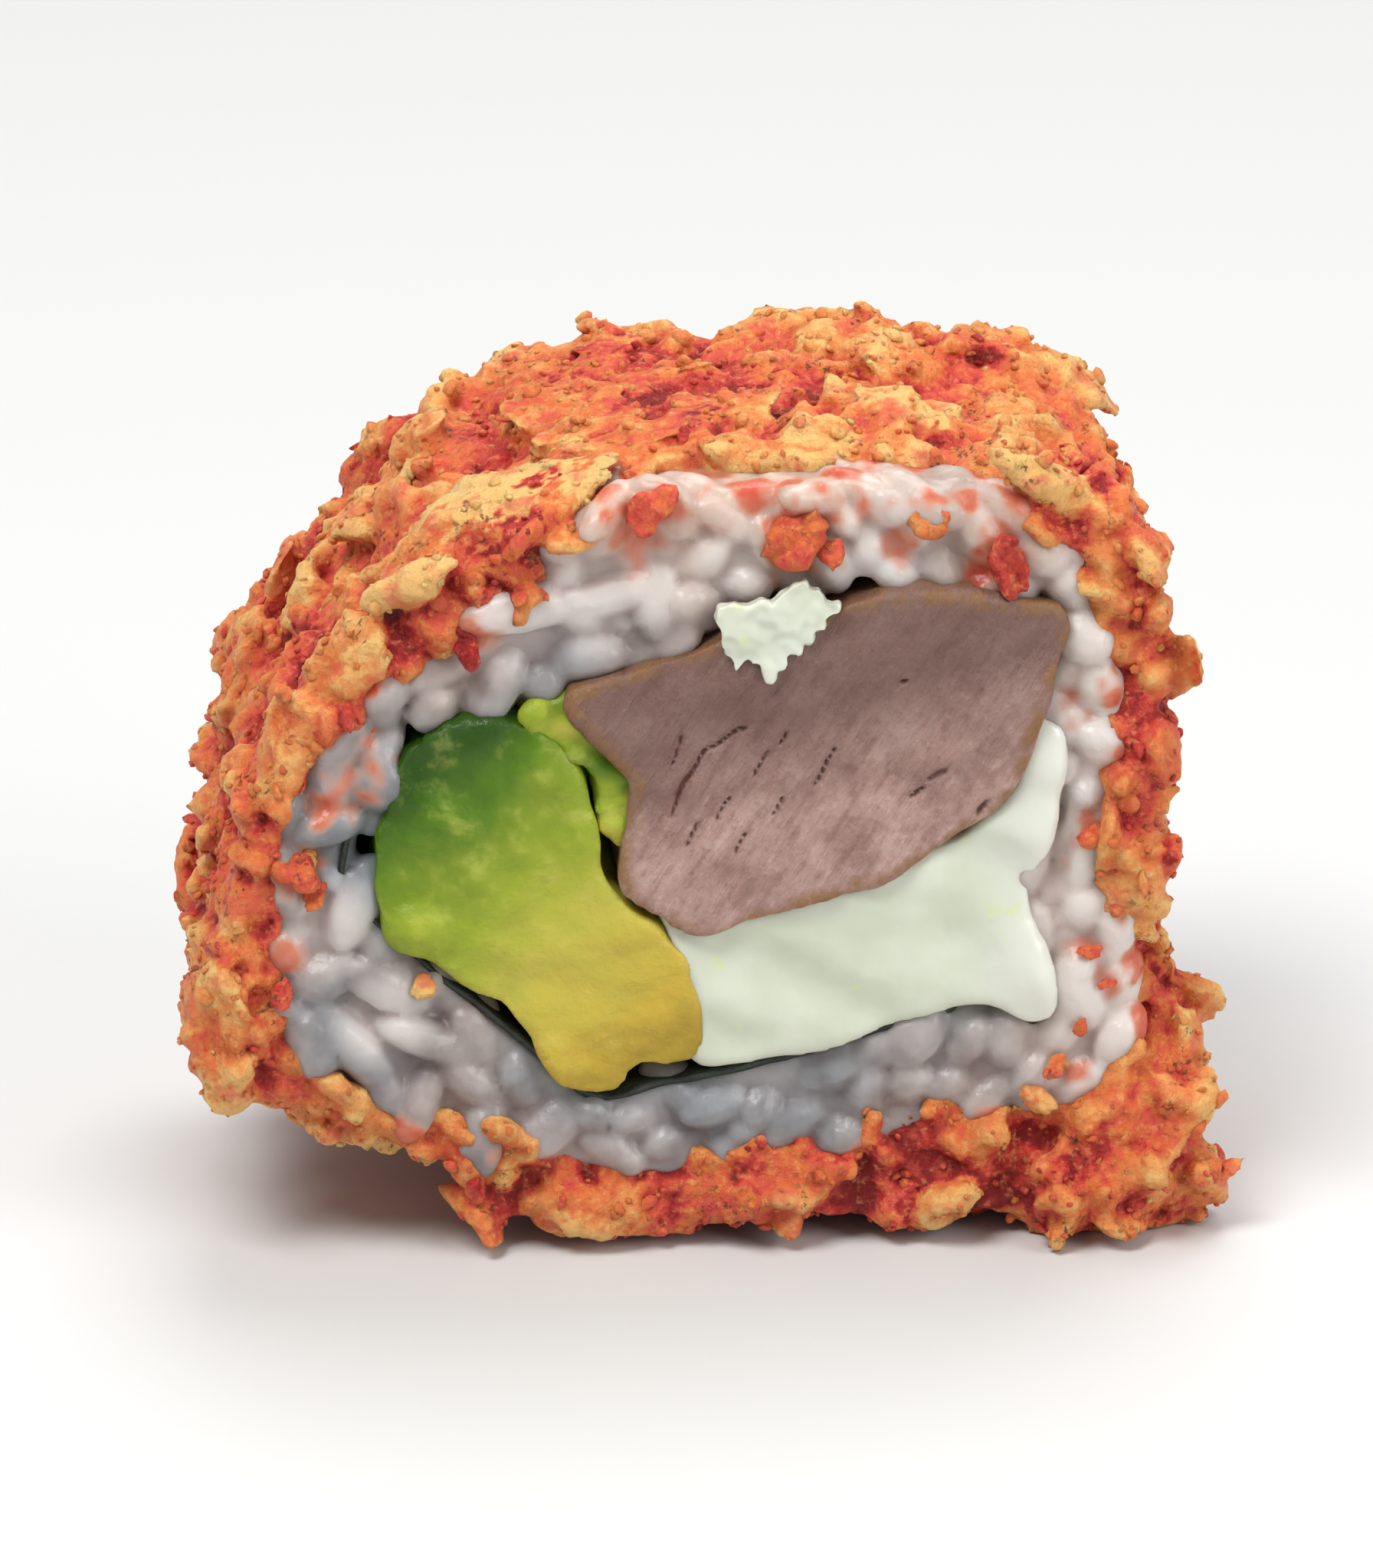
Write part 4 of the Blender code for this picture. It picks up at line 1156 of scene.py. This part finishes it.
# Splits between the fibres of the meat at the front cut: two ends as x, z, and the split's half width
MEAT_SPLITS = (
    ((1.7, 25.8), (-0.1, 24.8), 0.09), ((-0.1, 24.8), (-1.0, 23.4), 0.11), ((-1.0, 23.4), (-1.7, 21.7), 0.09),
    ((-1.1, 25.5), (-1.6, 24.1), 0.06), ((-0.5, 21.5), (-0.9, 20.4), 0.07), ((2.6, 24.5), (2.1, 23.4), 0.08),
    ((5.7, 24.6), (4.9, 23.0), 0.06), ((10.1, 23.0), (10.7, 23.4), 0.14), ((9.4, 22.1), (9.8, 22.5), 0.10),
    ((12.3, 21.2), (12.7, 21.8), 0.11), ((8.6, 27.6), (9.2, 27.9), 0.06), ((1.6, 20.6), (1.2, 19.8), 0.06),
    ((3.4, 22.4), (3.1, 21.6), 0.06), ((0.9, 22.4), (0.5, 21.5), 0.06), ((3.6, 25.6), (3.3, 24.9), 0.06),
)


def build_meat():
    """The cooked meat, with short splits between its fibres on the cuts."""
    body, points, flat = filling_body("meat_cooked", MEAT, 0.7, 0.5, 0.2, MEAT_VOXEL, 3)
    along = flat[:, 0] * math.cos(FIBRE_SLOPE) + flat[:, 2] * math.sin(FIBRE_SLOPE)
    across = -flat[:, 0] * math.sin(FIBRE_SLOPE) + flat[:, 2] * math.cos(FIBRE_SLOPE)
    fibres = soft_noise(np.stack([along / 4.5, flat[:, 1] / 5, across], axis=1), 0.55 * MM, 17)
    behind = rise(points[:, 1] - FACE_BACK, -1, 0)
    splits = share_of((fibres - 0.34) / 0.2) * share_of(soft_noise(flat, 3.0 * MM, 20) * 3) * behind
    wander = warp(points, 0.9 * MM, 0.16 * MM)
    for start, end, half in MEAT_SPLITS:
        away = segment_distance(flat + wander, start, end) / (half * MM)
        splits = np.maximum(splits, share_of(1.5 - away) * front_only(points))
    push_out(body, noises(flat, (5.0, 0.40, 18), (2.0, 0.16, 19)) + 0.09 * fibres - 0.28 * splits)
    line = even(rounded(MEAT), 0.5 * MM)
    rim = np.array([np.min(np.hypot(line[:, 0] - x, line[:, 1] - z)) for x, _, z in flat])
    set_value(body, "rim", share_of(1 - rim / (0.9 * MM)))
    set_value(body, "split", splits)
    # Darker towards the upper edge: partly painted shadow of the rice over it, partly browner meat
    set_value(body, "upper", rise(flat[:, 2] - 0.25 * flat[:, 0], 20.5, 25.5))
    return body


def build_cheese():
    """Cream cheese squeezed between the meat and the nori: smooth, with soft folds."""
    body, _, flat = filling_body("cream_cheese_soft", CREAM_CHEESE, 0.3, 0.1, 0.15)
    folds = np.stack([flat[:, 0] / 2.2, flat[:, 1], flat[:, 2] + 0.45 * flat[:, 0]], axis=1)
    push_out(body, noises(folds, (3.0, 0.60, 21)) + noises(flat, (1.2, 0.05, 22)))
    # Lighter towards the right: painted light
    set_value(body, "pale_and_lit", rise(flat[:, 0], 11, 16))
    return body


def build_scrap():
    """A torn scrap of pale cheese at the front cut, jagged and standing proud of the meat."""
    corners = [(x, z, SCRAP_RADIUS) for x, z in SCRAP]
    back = -DEPTH / MM - 0.4
    body, points, _ = filling_body("pale_scrap", corners, 1.2, back, 0.05, SCRAP_VOXEL, 3, 0.12 * MM)
    push_out(body, noises(points, (1.3, 0.26, 23), (0.5, 0.10, 24)))
    set_value(body, "pale_and_lit", 0.2)
    return body


# Bits of coating on the rice and fillings of the front cut: x, z, size and tone
STRAY_CRUMBS = (
    (-11.0, 30.0, 1.7, 0.02), (17.6, 19.9, 1.3, 0.36), (17.6, 14.3, 0.9, 0.28), (18.4, 12.7, 0.7, 0.24),
    (-18.7, 19.4, 2.0, 0.30), (-17.9, 18.2, 1.2, 0.42), (16.0, 8.6, 1.1, 0.50), (15.3, 7.1, 1.5, 0.80),
    (-13.0, 13.6, 1.2, 0.90), (3.9, 34.5, 2.9, 0.36), (5.6, 33.8, 1.3, 0.30), (13.5, 33.1, 2.4, 0.16),
    (-2.6, 36.2, 2.2, 0.30), (18.8, 16.4, 0.8, 0.30), (-19.4, 13.4, 1.2, 0.25), (17.2, 10.6, 0.8, 0.34),
    (9.8, 35.4, 2.0, 0.52), (-16.4, 26.8, 1.2, 0.15),
)


def build_stray_crumbs():
    """Single bits of coating that have dropped on the rice."""
    rng = np.random.default_rng(35)
    heap = Heap()
    for x, z, size, tone in STRAY_CRUMBS:
        shape, faces = flake_shape(rng, 1.2 * size * MM, 0.8 * size * MM, 0.45 * size * MM, 24, 5)
        shape *= 1 + 0.25 * soft_noise(shape, 0.5 * size * MM, x)[:, None]
        place = np.array([x, -11.1, z]) * MM
        heap.add(place_shape(shape, frame_for(rng, np.array([0.0, -1.0, 0.3]), 0.6), place), faces, tone)
    crumbs = heap.build("stray_crumbs")
    set_value(crumbs, "height", 0.55)
    return crumbs


class Finish:
    """A new material, with short ways to add the nodes that the materials here need."""

    def __init__(self, name):
        self.material = bpy.data.materials.new(name)
        self.material.use_nodes = True
        self.tree = self.material.node_tree

    @cached_property
    def millimetres(self):
        """The object's own coordinates, in millimetres."""
        places = self.node("TexCoord").outputs["Object"]
        return self.node("Mapping", Vector=places, Scale=(1000, 1000, 1000)).outputs["Vector"]

    def put(self, socket, source):
        """Link a socket to another node's output, or set it to a number, colour or vector."""
        if isinstance(source, bpy.types.NodeSocket):
            self.tree.links.new(source, socket)
        else:
            socket.default_value = (*source, 1.0) if socket.type == "RGBA" else source

    def node(self, kind, **sockets):
        made = self.tree.nodes.new("ShaderNode" + kind)
        for name, source in sockets.items():
            self.put(made.inputs[name], source)
        return made

    def noise(self, size, detail=3.0, roughness=0.5, vector=None):
        vector = vector or self.millimetres
        made = self.node("TexNoise", Vector=vector, Scale=1.0 / size, Detail=detail, Roughness=roughness)
        return made.outputs["Fac"]

    def cells(self, size):
        return self.node("TexVoronoi", Vector=self.millimetres, Scale=1.0 / size).outputs["Distance"]

    def value(self, name):
        made = self.node("Attribute")
        made.attribute_name = name
        return made.outputs["Fac"]

    def ramp(self, source, *stops):
        """Numbers or colours by how high the source is: each stop is its place and what it gives."""
        made = self.node("ValToRGB", Fac=source)
        while len(made.color_ramp.elements) < len(stops):
            made.color_ramp.elements.new(1.0)
        for element, (position, colour) in zip(made.color_ramp.elements, stops):
            element.position = position
            element.color = (*colour, 1.0) if isinstance(colour, tuple) else (colour, colour, colour, 1.0)
        return made.outputs["Color"]

    def mix(self, share, first, second, blend="MIX"):
        made = self.node("Mix")
        made.data_type = "RGBA"
        made.blend_type = blend
        self.put(made.inputs["Factor"], share)
        colours = [socket for socket in made.inputs if socket.type == "RGBA"]
        self.put(colours[0], first)
        self.put(colours[1], second)
        return next(socket for socket in made.outputs if socket.type == "RGBA")

    def math(self, operation, first, second):
        made = self.node("Math")
        made.operation = operation
        self.put(made.inputs[0], first)
        self.put(made.inputs[1], second)
        return made.outputs["Value"]

    def swing(self, source, reach):
        """A source from 0 to 1 as one that swings about 0, this far in all."""
        return self.math("MULTIPLY", self.math("SUBTRACT", source, 0.5), reach)

    def bump(self, height, distance, strength=1.0, under=None):
        made = self.node("Bump", Height=height, Distance=distance * MM, Strength=strength)
        if under is not None:
            self.put(made.inputs["Normal"], under)
        return made.outputs["Normal"]

    def shade(self, colour, roughness, normal=None, inner=None, **others):
        """The material, with its shader's colour, roughness, bumps and inner light linked or set."""
        sockets = {"Base Color": colour, "Roughness": roughness}
        if normal:
            sockets["Normal"] = normal
        if inner:
            names = ("Subsurface Weight", "Subsurface Radius", "Subsurface Scale")
            sockets.update(zip(names, (inner[0], inner[1], inner[2] * MM)))
        for name, source in others.items():
            sockets[name.replace("_", " ")] = source
        for name, source in sockets.items():
            self.put(self.tree.nodes["Principled BSDF"].inputs[name], source)
        return self.material


DEEP_RED = (0.26, 0.010, 0.009)
RED = (0.52, 0.030, 0.022)
CORAL = (0.72, 0.100, 0.055)
ORANGE = (0.74, 0.170, 0.038)
PEACH = (0.79, 0.240, 0.066)
TAN = (0.82, 0.325, 0.092)
YELLOW = (0.87, 0.530, 0.180)
BROWN = (0.14, 0.040, 0.016)
PALE = (0.88, 0.46, 0.18)
CRUST_COLOURS = (
    (0.02, DEEP_RED), (0.17, RED), (0.31, CORAL), (0.45, ORANGE), (0.59, PEACH), (0.74, TAN), (0.95, YELLOW),
)


def crust_material():
    """Crisp crust: red and moist in its hollows, orange to tan and yellow on top, specked with brown."""
    finish = Finish("coating_crust")
    mottle = finish.swing(finish.noise(0.9, 5, 0.72), 1.05)
    raised = finish.swing(finish.value("height"), 0.80)
    level = finish.math("ADD", finish.value("tone"), finish.math("ADD", mottle, raised))
    colour = finish.ramp(level, *CRUST_COLOURS)
    stain = finish.ramp(finish.noise(2.1, 3, 0.6), (0.54, 0.0), (0.65, 0.65))
    colour = finish.mix(stain, colour, CORAL)
    grains = finish.ramp(finish.noise(0.45, 3, 0.6), (0.56, 0.0), (0.70, 0.35))
    colour = finish.mix(grains, colour, PALE)
    clusters = finish.ramp(finish.noise(3.0, 2), (0.54, 0.0), (0.64, 1.0))
    specks = finish.ramp(finish.noise(0.50, 3, 0.7), (0.56, 0.0), (0.63, 0.85))
    colour = finish.mix(finish.math("MULTIPLY", clusters, specks), colour, BROWN)
    rough = finish.ramp(finish.noise(1.4), (0.35, 0.30), (0.65, 0.58))
    crumbly = finish.bump(finish.noise(0.8, 6, 0.75), 0.5)
    bumps = finish.bump(finish.cells(0.38), 0.12, 0.9, crumbly)
    return finish.shade(colour, rough, bumps, (0.35, (1.0, 0.4, 0.2), 0.8), Specular_IOR_Level=0.4)


def rice_material():
    """Moist cooked rice: milk-white and slightly see-through, pink where it touches the coating."""
    finish = Finish("rice_grain")
    # Painted light and shade: a cool, dark colour for shaded rice and a warm, light one for lit rice
    cool = finish.ramp(finish.noise(2.2), (0.32, (0.24, 0.250, 0.268)), (0.68, (0.41, 0.43, 0.455)))
    warm = finish.ramp(finish.noise(2.2), (0.32, (0.62, 0.43, 0.34)), (0.68, (0.84, 0.66, 0.56)))
    colour = finish.mix(finish.value("warm"), cool, warm)
    # Whiter grains, and painted light towards the right
    colour = finish.mix(finish.math("MULTIPLY", finish.value("milky_and_lit"), 0.8), colour, (0.93, 0.86, 0.81))
    # Painted shade: darker in the creases between grains, full colour on their crests
    shade = finish.ramp(finish.value("crest"), (0.22, (0.76, 0.70, 0.70)), (0.60, (1.0, 1.0, 1.0)))
    colour = finish.mix(1.0, colour, shade, "MULTIPLY")
    tint = finish.value("tint")
    uneven = finish.math("MULTIPLY", tint, finish.math("ADD", finish.noise(0.9), 0.45))
    stained = finish.ramp(
        uneven, (0.10, (0.74, 0.46, 0.36)), (0.45, (0.74, 0.27, 0.17)), (0.85, (0.66, 0.085, 0.045)))
    colour = finish.mix(finish.ramp(tint, (0.05, 0.0), (0.45, 1.0)), colour, stained)
    bumps = finish.bump(finish.noise(0.6), 0.09)
    milk = (0.7, (1.0, 0.95, 0.92), 1.8)
    return finish.shade(colour, 0.30, bumps, milk, Transmission_Weight=0.3, IOR=1.36)


def nori_material():
    """Damp seaweed, almost black with a green cast."""
    finish = Finish("nori_sheet")
    patches = finish.noise(0.8, 4, 0.7)
    colour = finish.ramp(patches, (0.3, (0.004, 0.006, 0.005)), (0.7, (0.018, 0.028, 0.016)))
    return finish.shade(colour, 0.35, finish.bump(finish.noise(0.4, 4, 0.7), 0.12))


def avocado_material():
    """Ripe flesh: dark green by the skin, through light green, to warm yellow inside."""
    finish = Finish("avocado_flesh")
    ripe = finish.math("ADD", finish.value("ripe"), finish.swing(finish.noise(3.2, 3, 0.6), 0.35))
    # The last stop darkens the yellow tip: partly painted shade, partly its duller crumbly flesh
    colour = finish.ramp(
        ripe, (0.0, (0.022, 0.070, 0.002)), (0.18, (0.085, 0.18, 0.004)), (0.40, (0.30, 0.36, 0.025)),
        (0.58, (0.47, 0.42, 0.060)), (0.8, (0.52, 0.37, 0.045)), (1.0, (0.27, 0.175, 0.014)))
    streak = finish.ramp(finish.noise(1.6, 4, 0.6), (0.55, 0.0), (0.75, 0.3))
    colour = finish.mix(streak, colour, (0.62, 0.58, 0.16))
    rough = finish.ramp(finish.noise(1.4), (0.3, 0.32), (0.7, 0.5))
    bumps = finish.bump(finish.noise(0.7, 4, 0.6), 0.16)
    return finish.shade(colour, rough, bumps, (0.35, (0.8, 1.0, 0.2), 0.9), Specular_IOR_Level=0.3)


def meat_material():
    """Cooked meat, grey-pink, with darker splits, pale strands and a browned rim."""
    finish = Finish("meat_cooked")
    turn = finish.node("Mapping", Vector=finish.millimetres, Rotation=(0.0, FIBRE_SLOPE, 0.0))
    stretch = finish.node("Mapping", Vector=turn.outputs["Vector"], Scale=(0.16, 0.25, 1.0))
    fibre = finish.noise(0.42, 5, 0.65, stretch.outputs["Vector"])
    colour = finish.ramp(
        finish.noise(3.0, 4, 0.6), (0.32, (0.27, 0.155, 0.130)), (0.5, (0.40, 0.245, 0.210)),
        (0.68, (0.50, 0.335, 0.290)))
    fine = finish.math("MULTIPLY", finish.noise(0.5, 4, 0.7), 0.4)
    grain = finish.math("ADD", finish.math("MULTIPLY", fibre, 0.6), fine)
    colour = finish.mix(finish.ramp(grain, (0.38, 0.55), (0.50, 0.0)), colour, (0.19, 0.085, 0.065))
    colour = finish.mix(finish.ramp(grain, (0.54, 0.0), (0.66, 0.5)), colour, (0.62, 0.46, 0.40))
    # Partly painted shadow of the overhanging rice, partly browner meat, towards the upper edge
    upper = finish.ramp(finish.value("upper"), (0.0, 0.0), (1.0, 0.75))
    colour = finish.mix(upper, colour, (0.12, 0.052, 0.038))
    # Painted shade in the splits between the fibres
    split_share = finish.ramp(finish.value("split"), (0.3, 0.0), (0.95, 0.75))
    colour = finish.mix(split_share, colour, (0.15, 0.035, 0.025))
    uneven = finish.ramp(finish.noise(1.3), (0.35, 0.35), (0.6, 1.0))
    browned = finish.ramp(finish.math("MULTIPLY", finish.value("rim"), uneven), (0.25, 0.0), (0.75, 0.85))
    colour = finish.mix(browned, colour, (0.24, 0.115, 0.035))
    rough = finish.ramp(finish.noise(1.0), (0.35, 0.26), (0.65, 0.5))
    bumps = finish.bump(finish.noise(0.4, 5, 0.65), 0.16, 0.8, finish.bump(fibre, 0.30))
    return finish.shade(colour, rough, bumps, (0.3, (1.0, 0.45, 0.35), 0.7))


def cheese_material():
    """Smooth white cream cheese with a faint green-yellow cast."""
    finish = Finish("cream_cheese")
    colour = finish.ramp(finish.noise(4.5, 2), (0.35, (0.52, 0.56, 0.43)), (0.65, (0.62, 0.65, 0.54)))
    # Lighter colour: painted light on the cheese's right side, and the scrap's own paleness
    colour = finish.mix(finish.value("pale_and_lit"), colour, (0.70, 0.71, 0.64))
    smear = finish.ramp(finish.noise(1.3, 2, 0.5), (0.68, 0.0), (0.76, 0.5))
    colour = finish.mix(smear, colour, (0.60, 0.68, 0.26))
    bumps = finish.bump(finish.noise(1.8, 2), 0.12)
    return finish.shade(colour, 0.20, bumps, (0.5, (1.0, 0.95, 0.75), 0.9))


def dress(piece, finish, slot_name, *node_names):
    """Give a piece its material and its place on the body, and hide the model's nodes that it stands for."""
    piece.data.materials.clear()
    piece.data.materials.append(finish)
    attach(piece, "root")
    if node_names:
        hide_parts(*node_names)


def aim(name, data, place, target):
    """Put a lamp or the camera at a place, looking at a target."""
    holder = bpy.data.objects.new(name, data)
    holder.location = place
    holder.rotation_euler = (target - Vector(place)).to_track_quat("-Z", "Y").to_euler()
    bpy.context.scene.collection.objects.link(holder)
    return holder


FLOOR_HALF = 3.0
WORLD_STRENGTH = 0.30

# Soft lamps: name, place, size and power
LAMPS = (
    ("key", (-0.24, -0.26, 0.62), 0.30, 4.2),
    ("fill", (0.55, -0.42, 0.36), 0.40, 3.0),
    ("top", (0.10, 0.30, 0.70), 0.45, 3.6),
)
LAMP_TARGET = Vector((0, 0, 0.02))


def build_stage():
    """A plain pale floor under soft studio light."""
    corners = [(-FLOOR_HALF, -FLOOR_HALF, 0), (FLOOR_HALF, -FLOOR_HALF, 0)]
    corners += [(FLOOR_HALF, FLOOR_HALF, 0), (-FLOOR_HALF, FLOOR_HALF, 0)]
    floor = make_object("floor", corners, [(0, 1, 2, 3)], smooth=False)
    floor.data.materials.append(Finish("floor_pale").shade((0.62, 0.62, 0.61), 0.6))
    world = bpy.data.worlds.new("studio")
    world.use_nodes = True
    background = world.node_tree.nodes["Background"]
    background.inputs["Color"].default_value = (1.0, 1.0, 1.0, 1.0)
    background.inputs["Strength"].default_value = WORLD_STRENGTH
    bpy.context.scene.world = world
    for name, place, size, power in LAMPS:
        lamp = bpy.data.lights.new(name, "AREA")
        lamp.size = size
        lamp.energy = power
        aim(name, lamp, place, LAMP_TARGET)


CAMERA_DISTANCE = 0.400
CAMERA_ELEVATION = math.radians(20)
CAMERA_AZIMUTH = math.radians(-5)
CAMERA_LENS = 197.0
CAMERA_SENSOR = 36.0
CAMERA_TARGET = Vector((0.0, 0.0, 0.0190))


def build_camera():
    """The camera at the photo's viewing angle, closer in than the photo's frame."""
    lens = bpy.data.cameras.new("camera")
    lens.lens = CAMERA_LENS
    lens.sensor_width = CAMERA_SENSOR
    lens.clip_start = 0.01
    lens.clip_end = 20.0
    flat = CAMERA_DISTANCE * math.cos(CAMERA_ELEVATION)
    height = CAMERA_DISTANCE * math.sin(CAMERA_ELEVATION)
    offset = Vector((flat * math.sin(CAMERA_AZIMUTH), -flat * math.cos(CAMERA_AZIMUTH), height))
    bpy.context.scene.camera = aim("camera", lens, CAMERA_TARGET + offset, CAMERA_TARGET)
    bpy.context.scene.view_settings.view_transform = "Standard"


def main():
    build_camera()
    build_stage()
    crisp = crust_material()
    crust = build_crust()
    dress(crust, crisp, "coating_crisp", "coating")
    dress(build_crumbs(crust), crisp, "coating_crisp")
    dress(build_stray_crumbs(), crisp, "coating_crisp")
    dress(build_rice(), rice_material(), "rice_cooked", "rice")
    dress(build_nori(), nori_material(), "nori_dark", "nori")
    green = avocado_material()
    dress(build_avocado(), green, "avocado_flesh", "avocado")
    dress(build_sliver(), green, "avocado_flesh", "avocado_sliver")
    dress(build_meat(), meat_material(), "meat_cooked", "meat")
    white = cheese_material()
    dress(build_cheese(), white, "cream_cheese_white", "cream_cheese")
    dress(build_scrap(), white, "cream_cheese_white")


main()
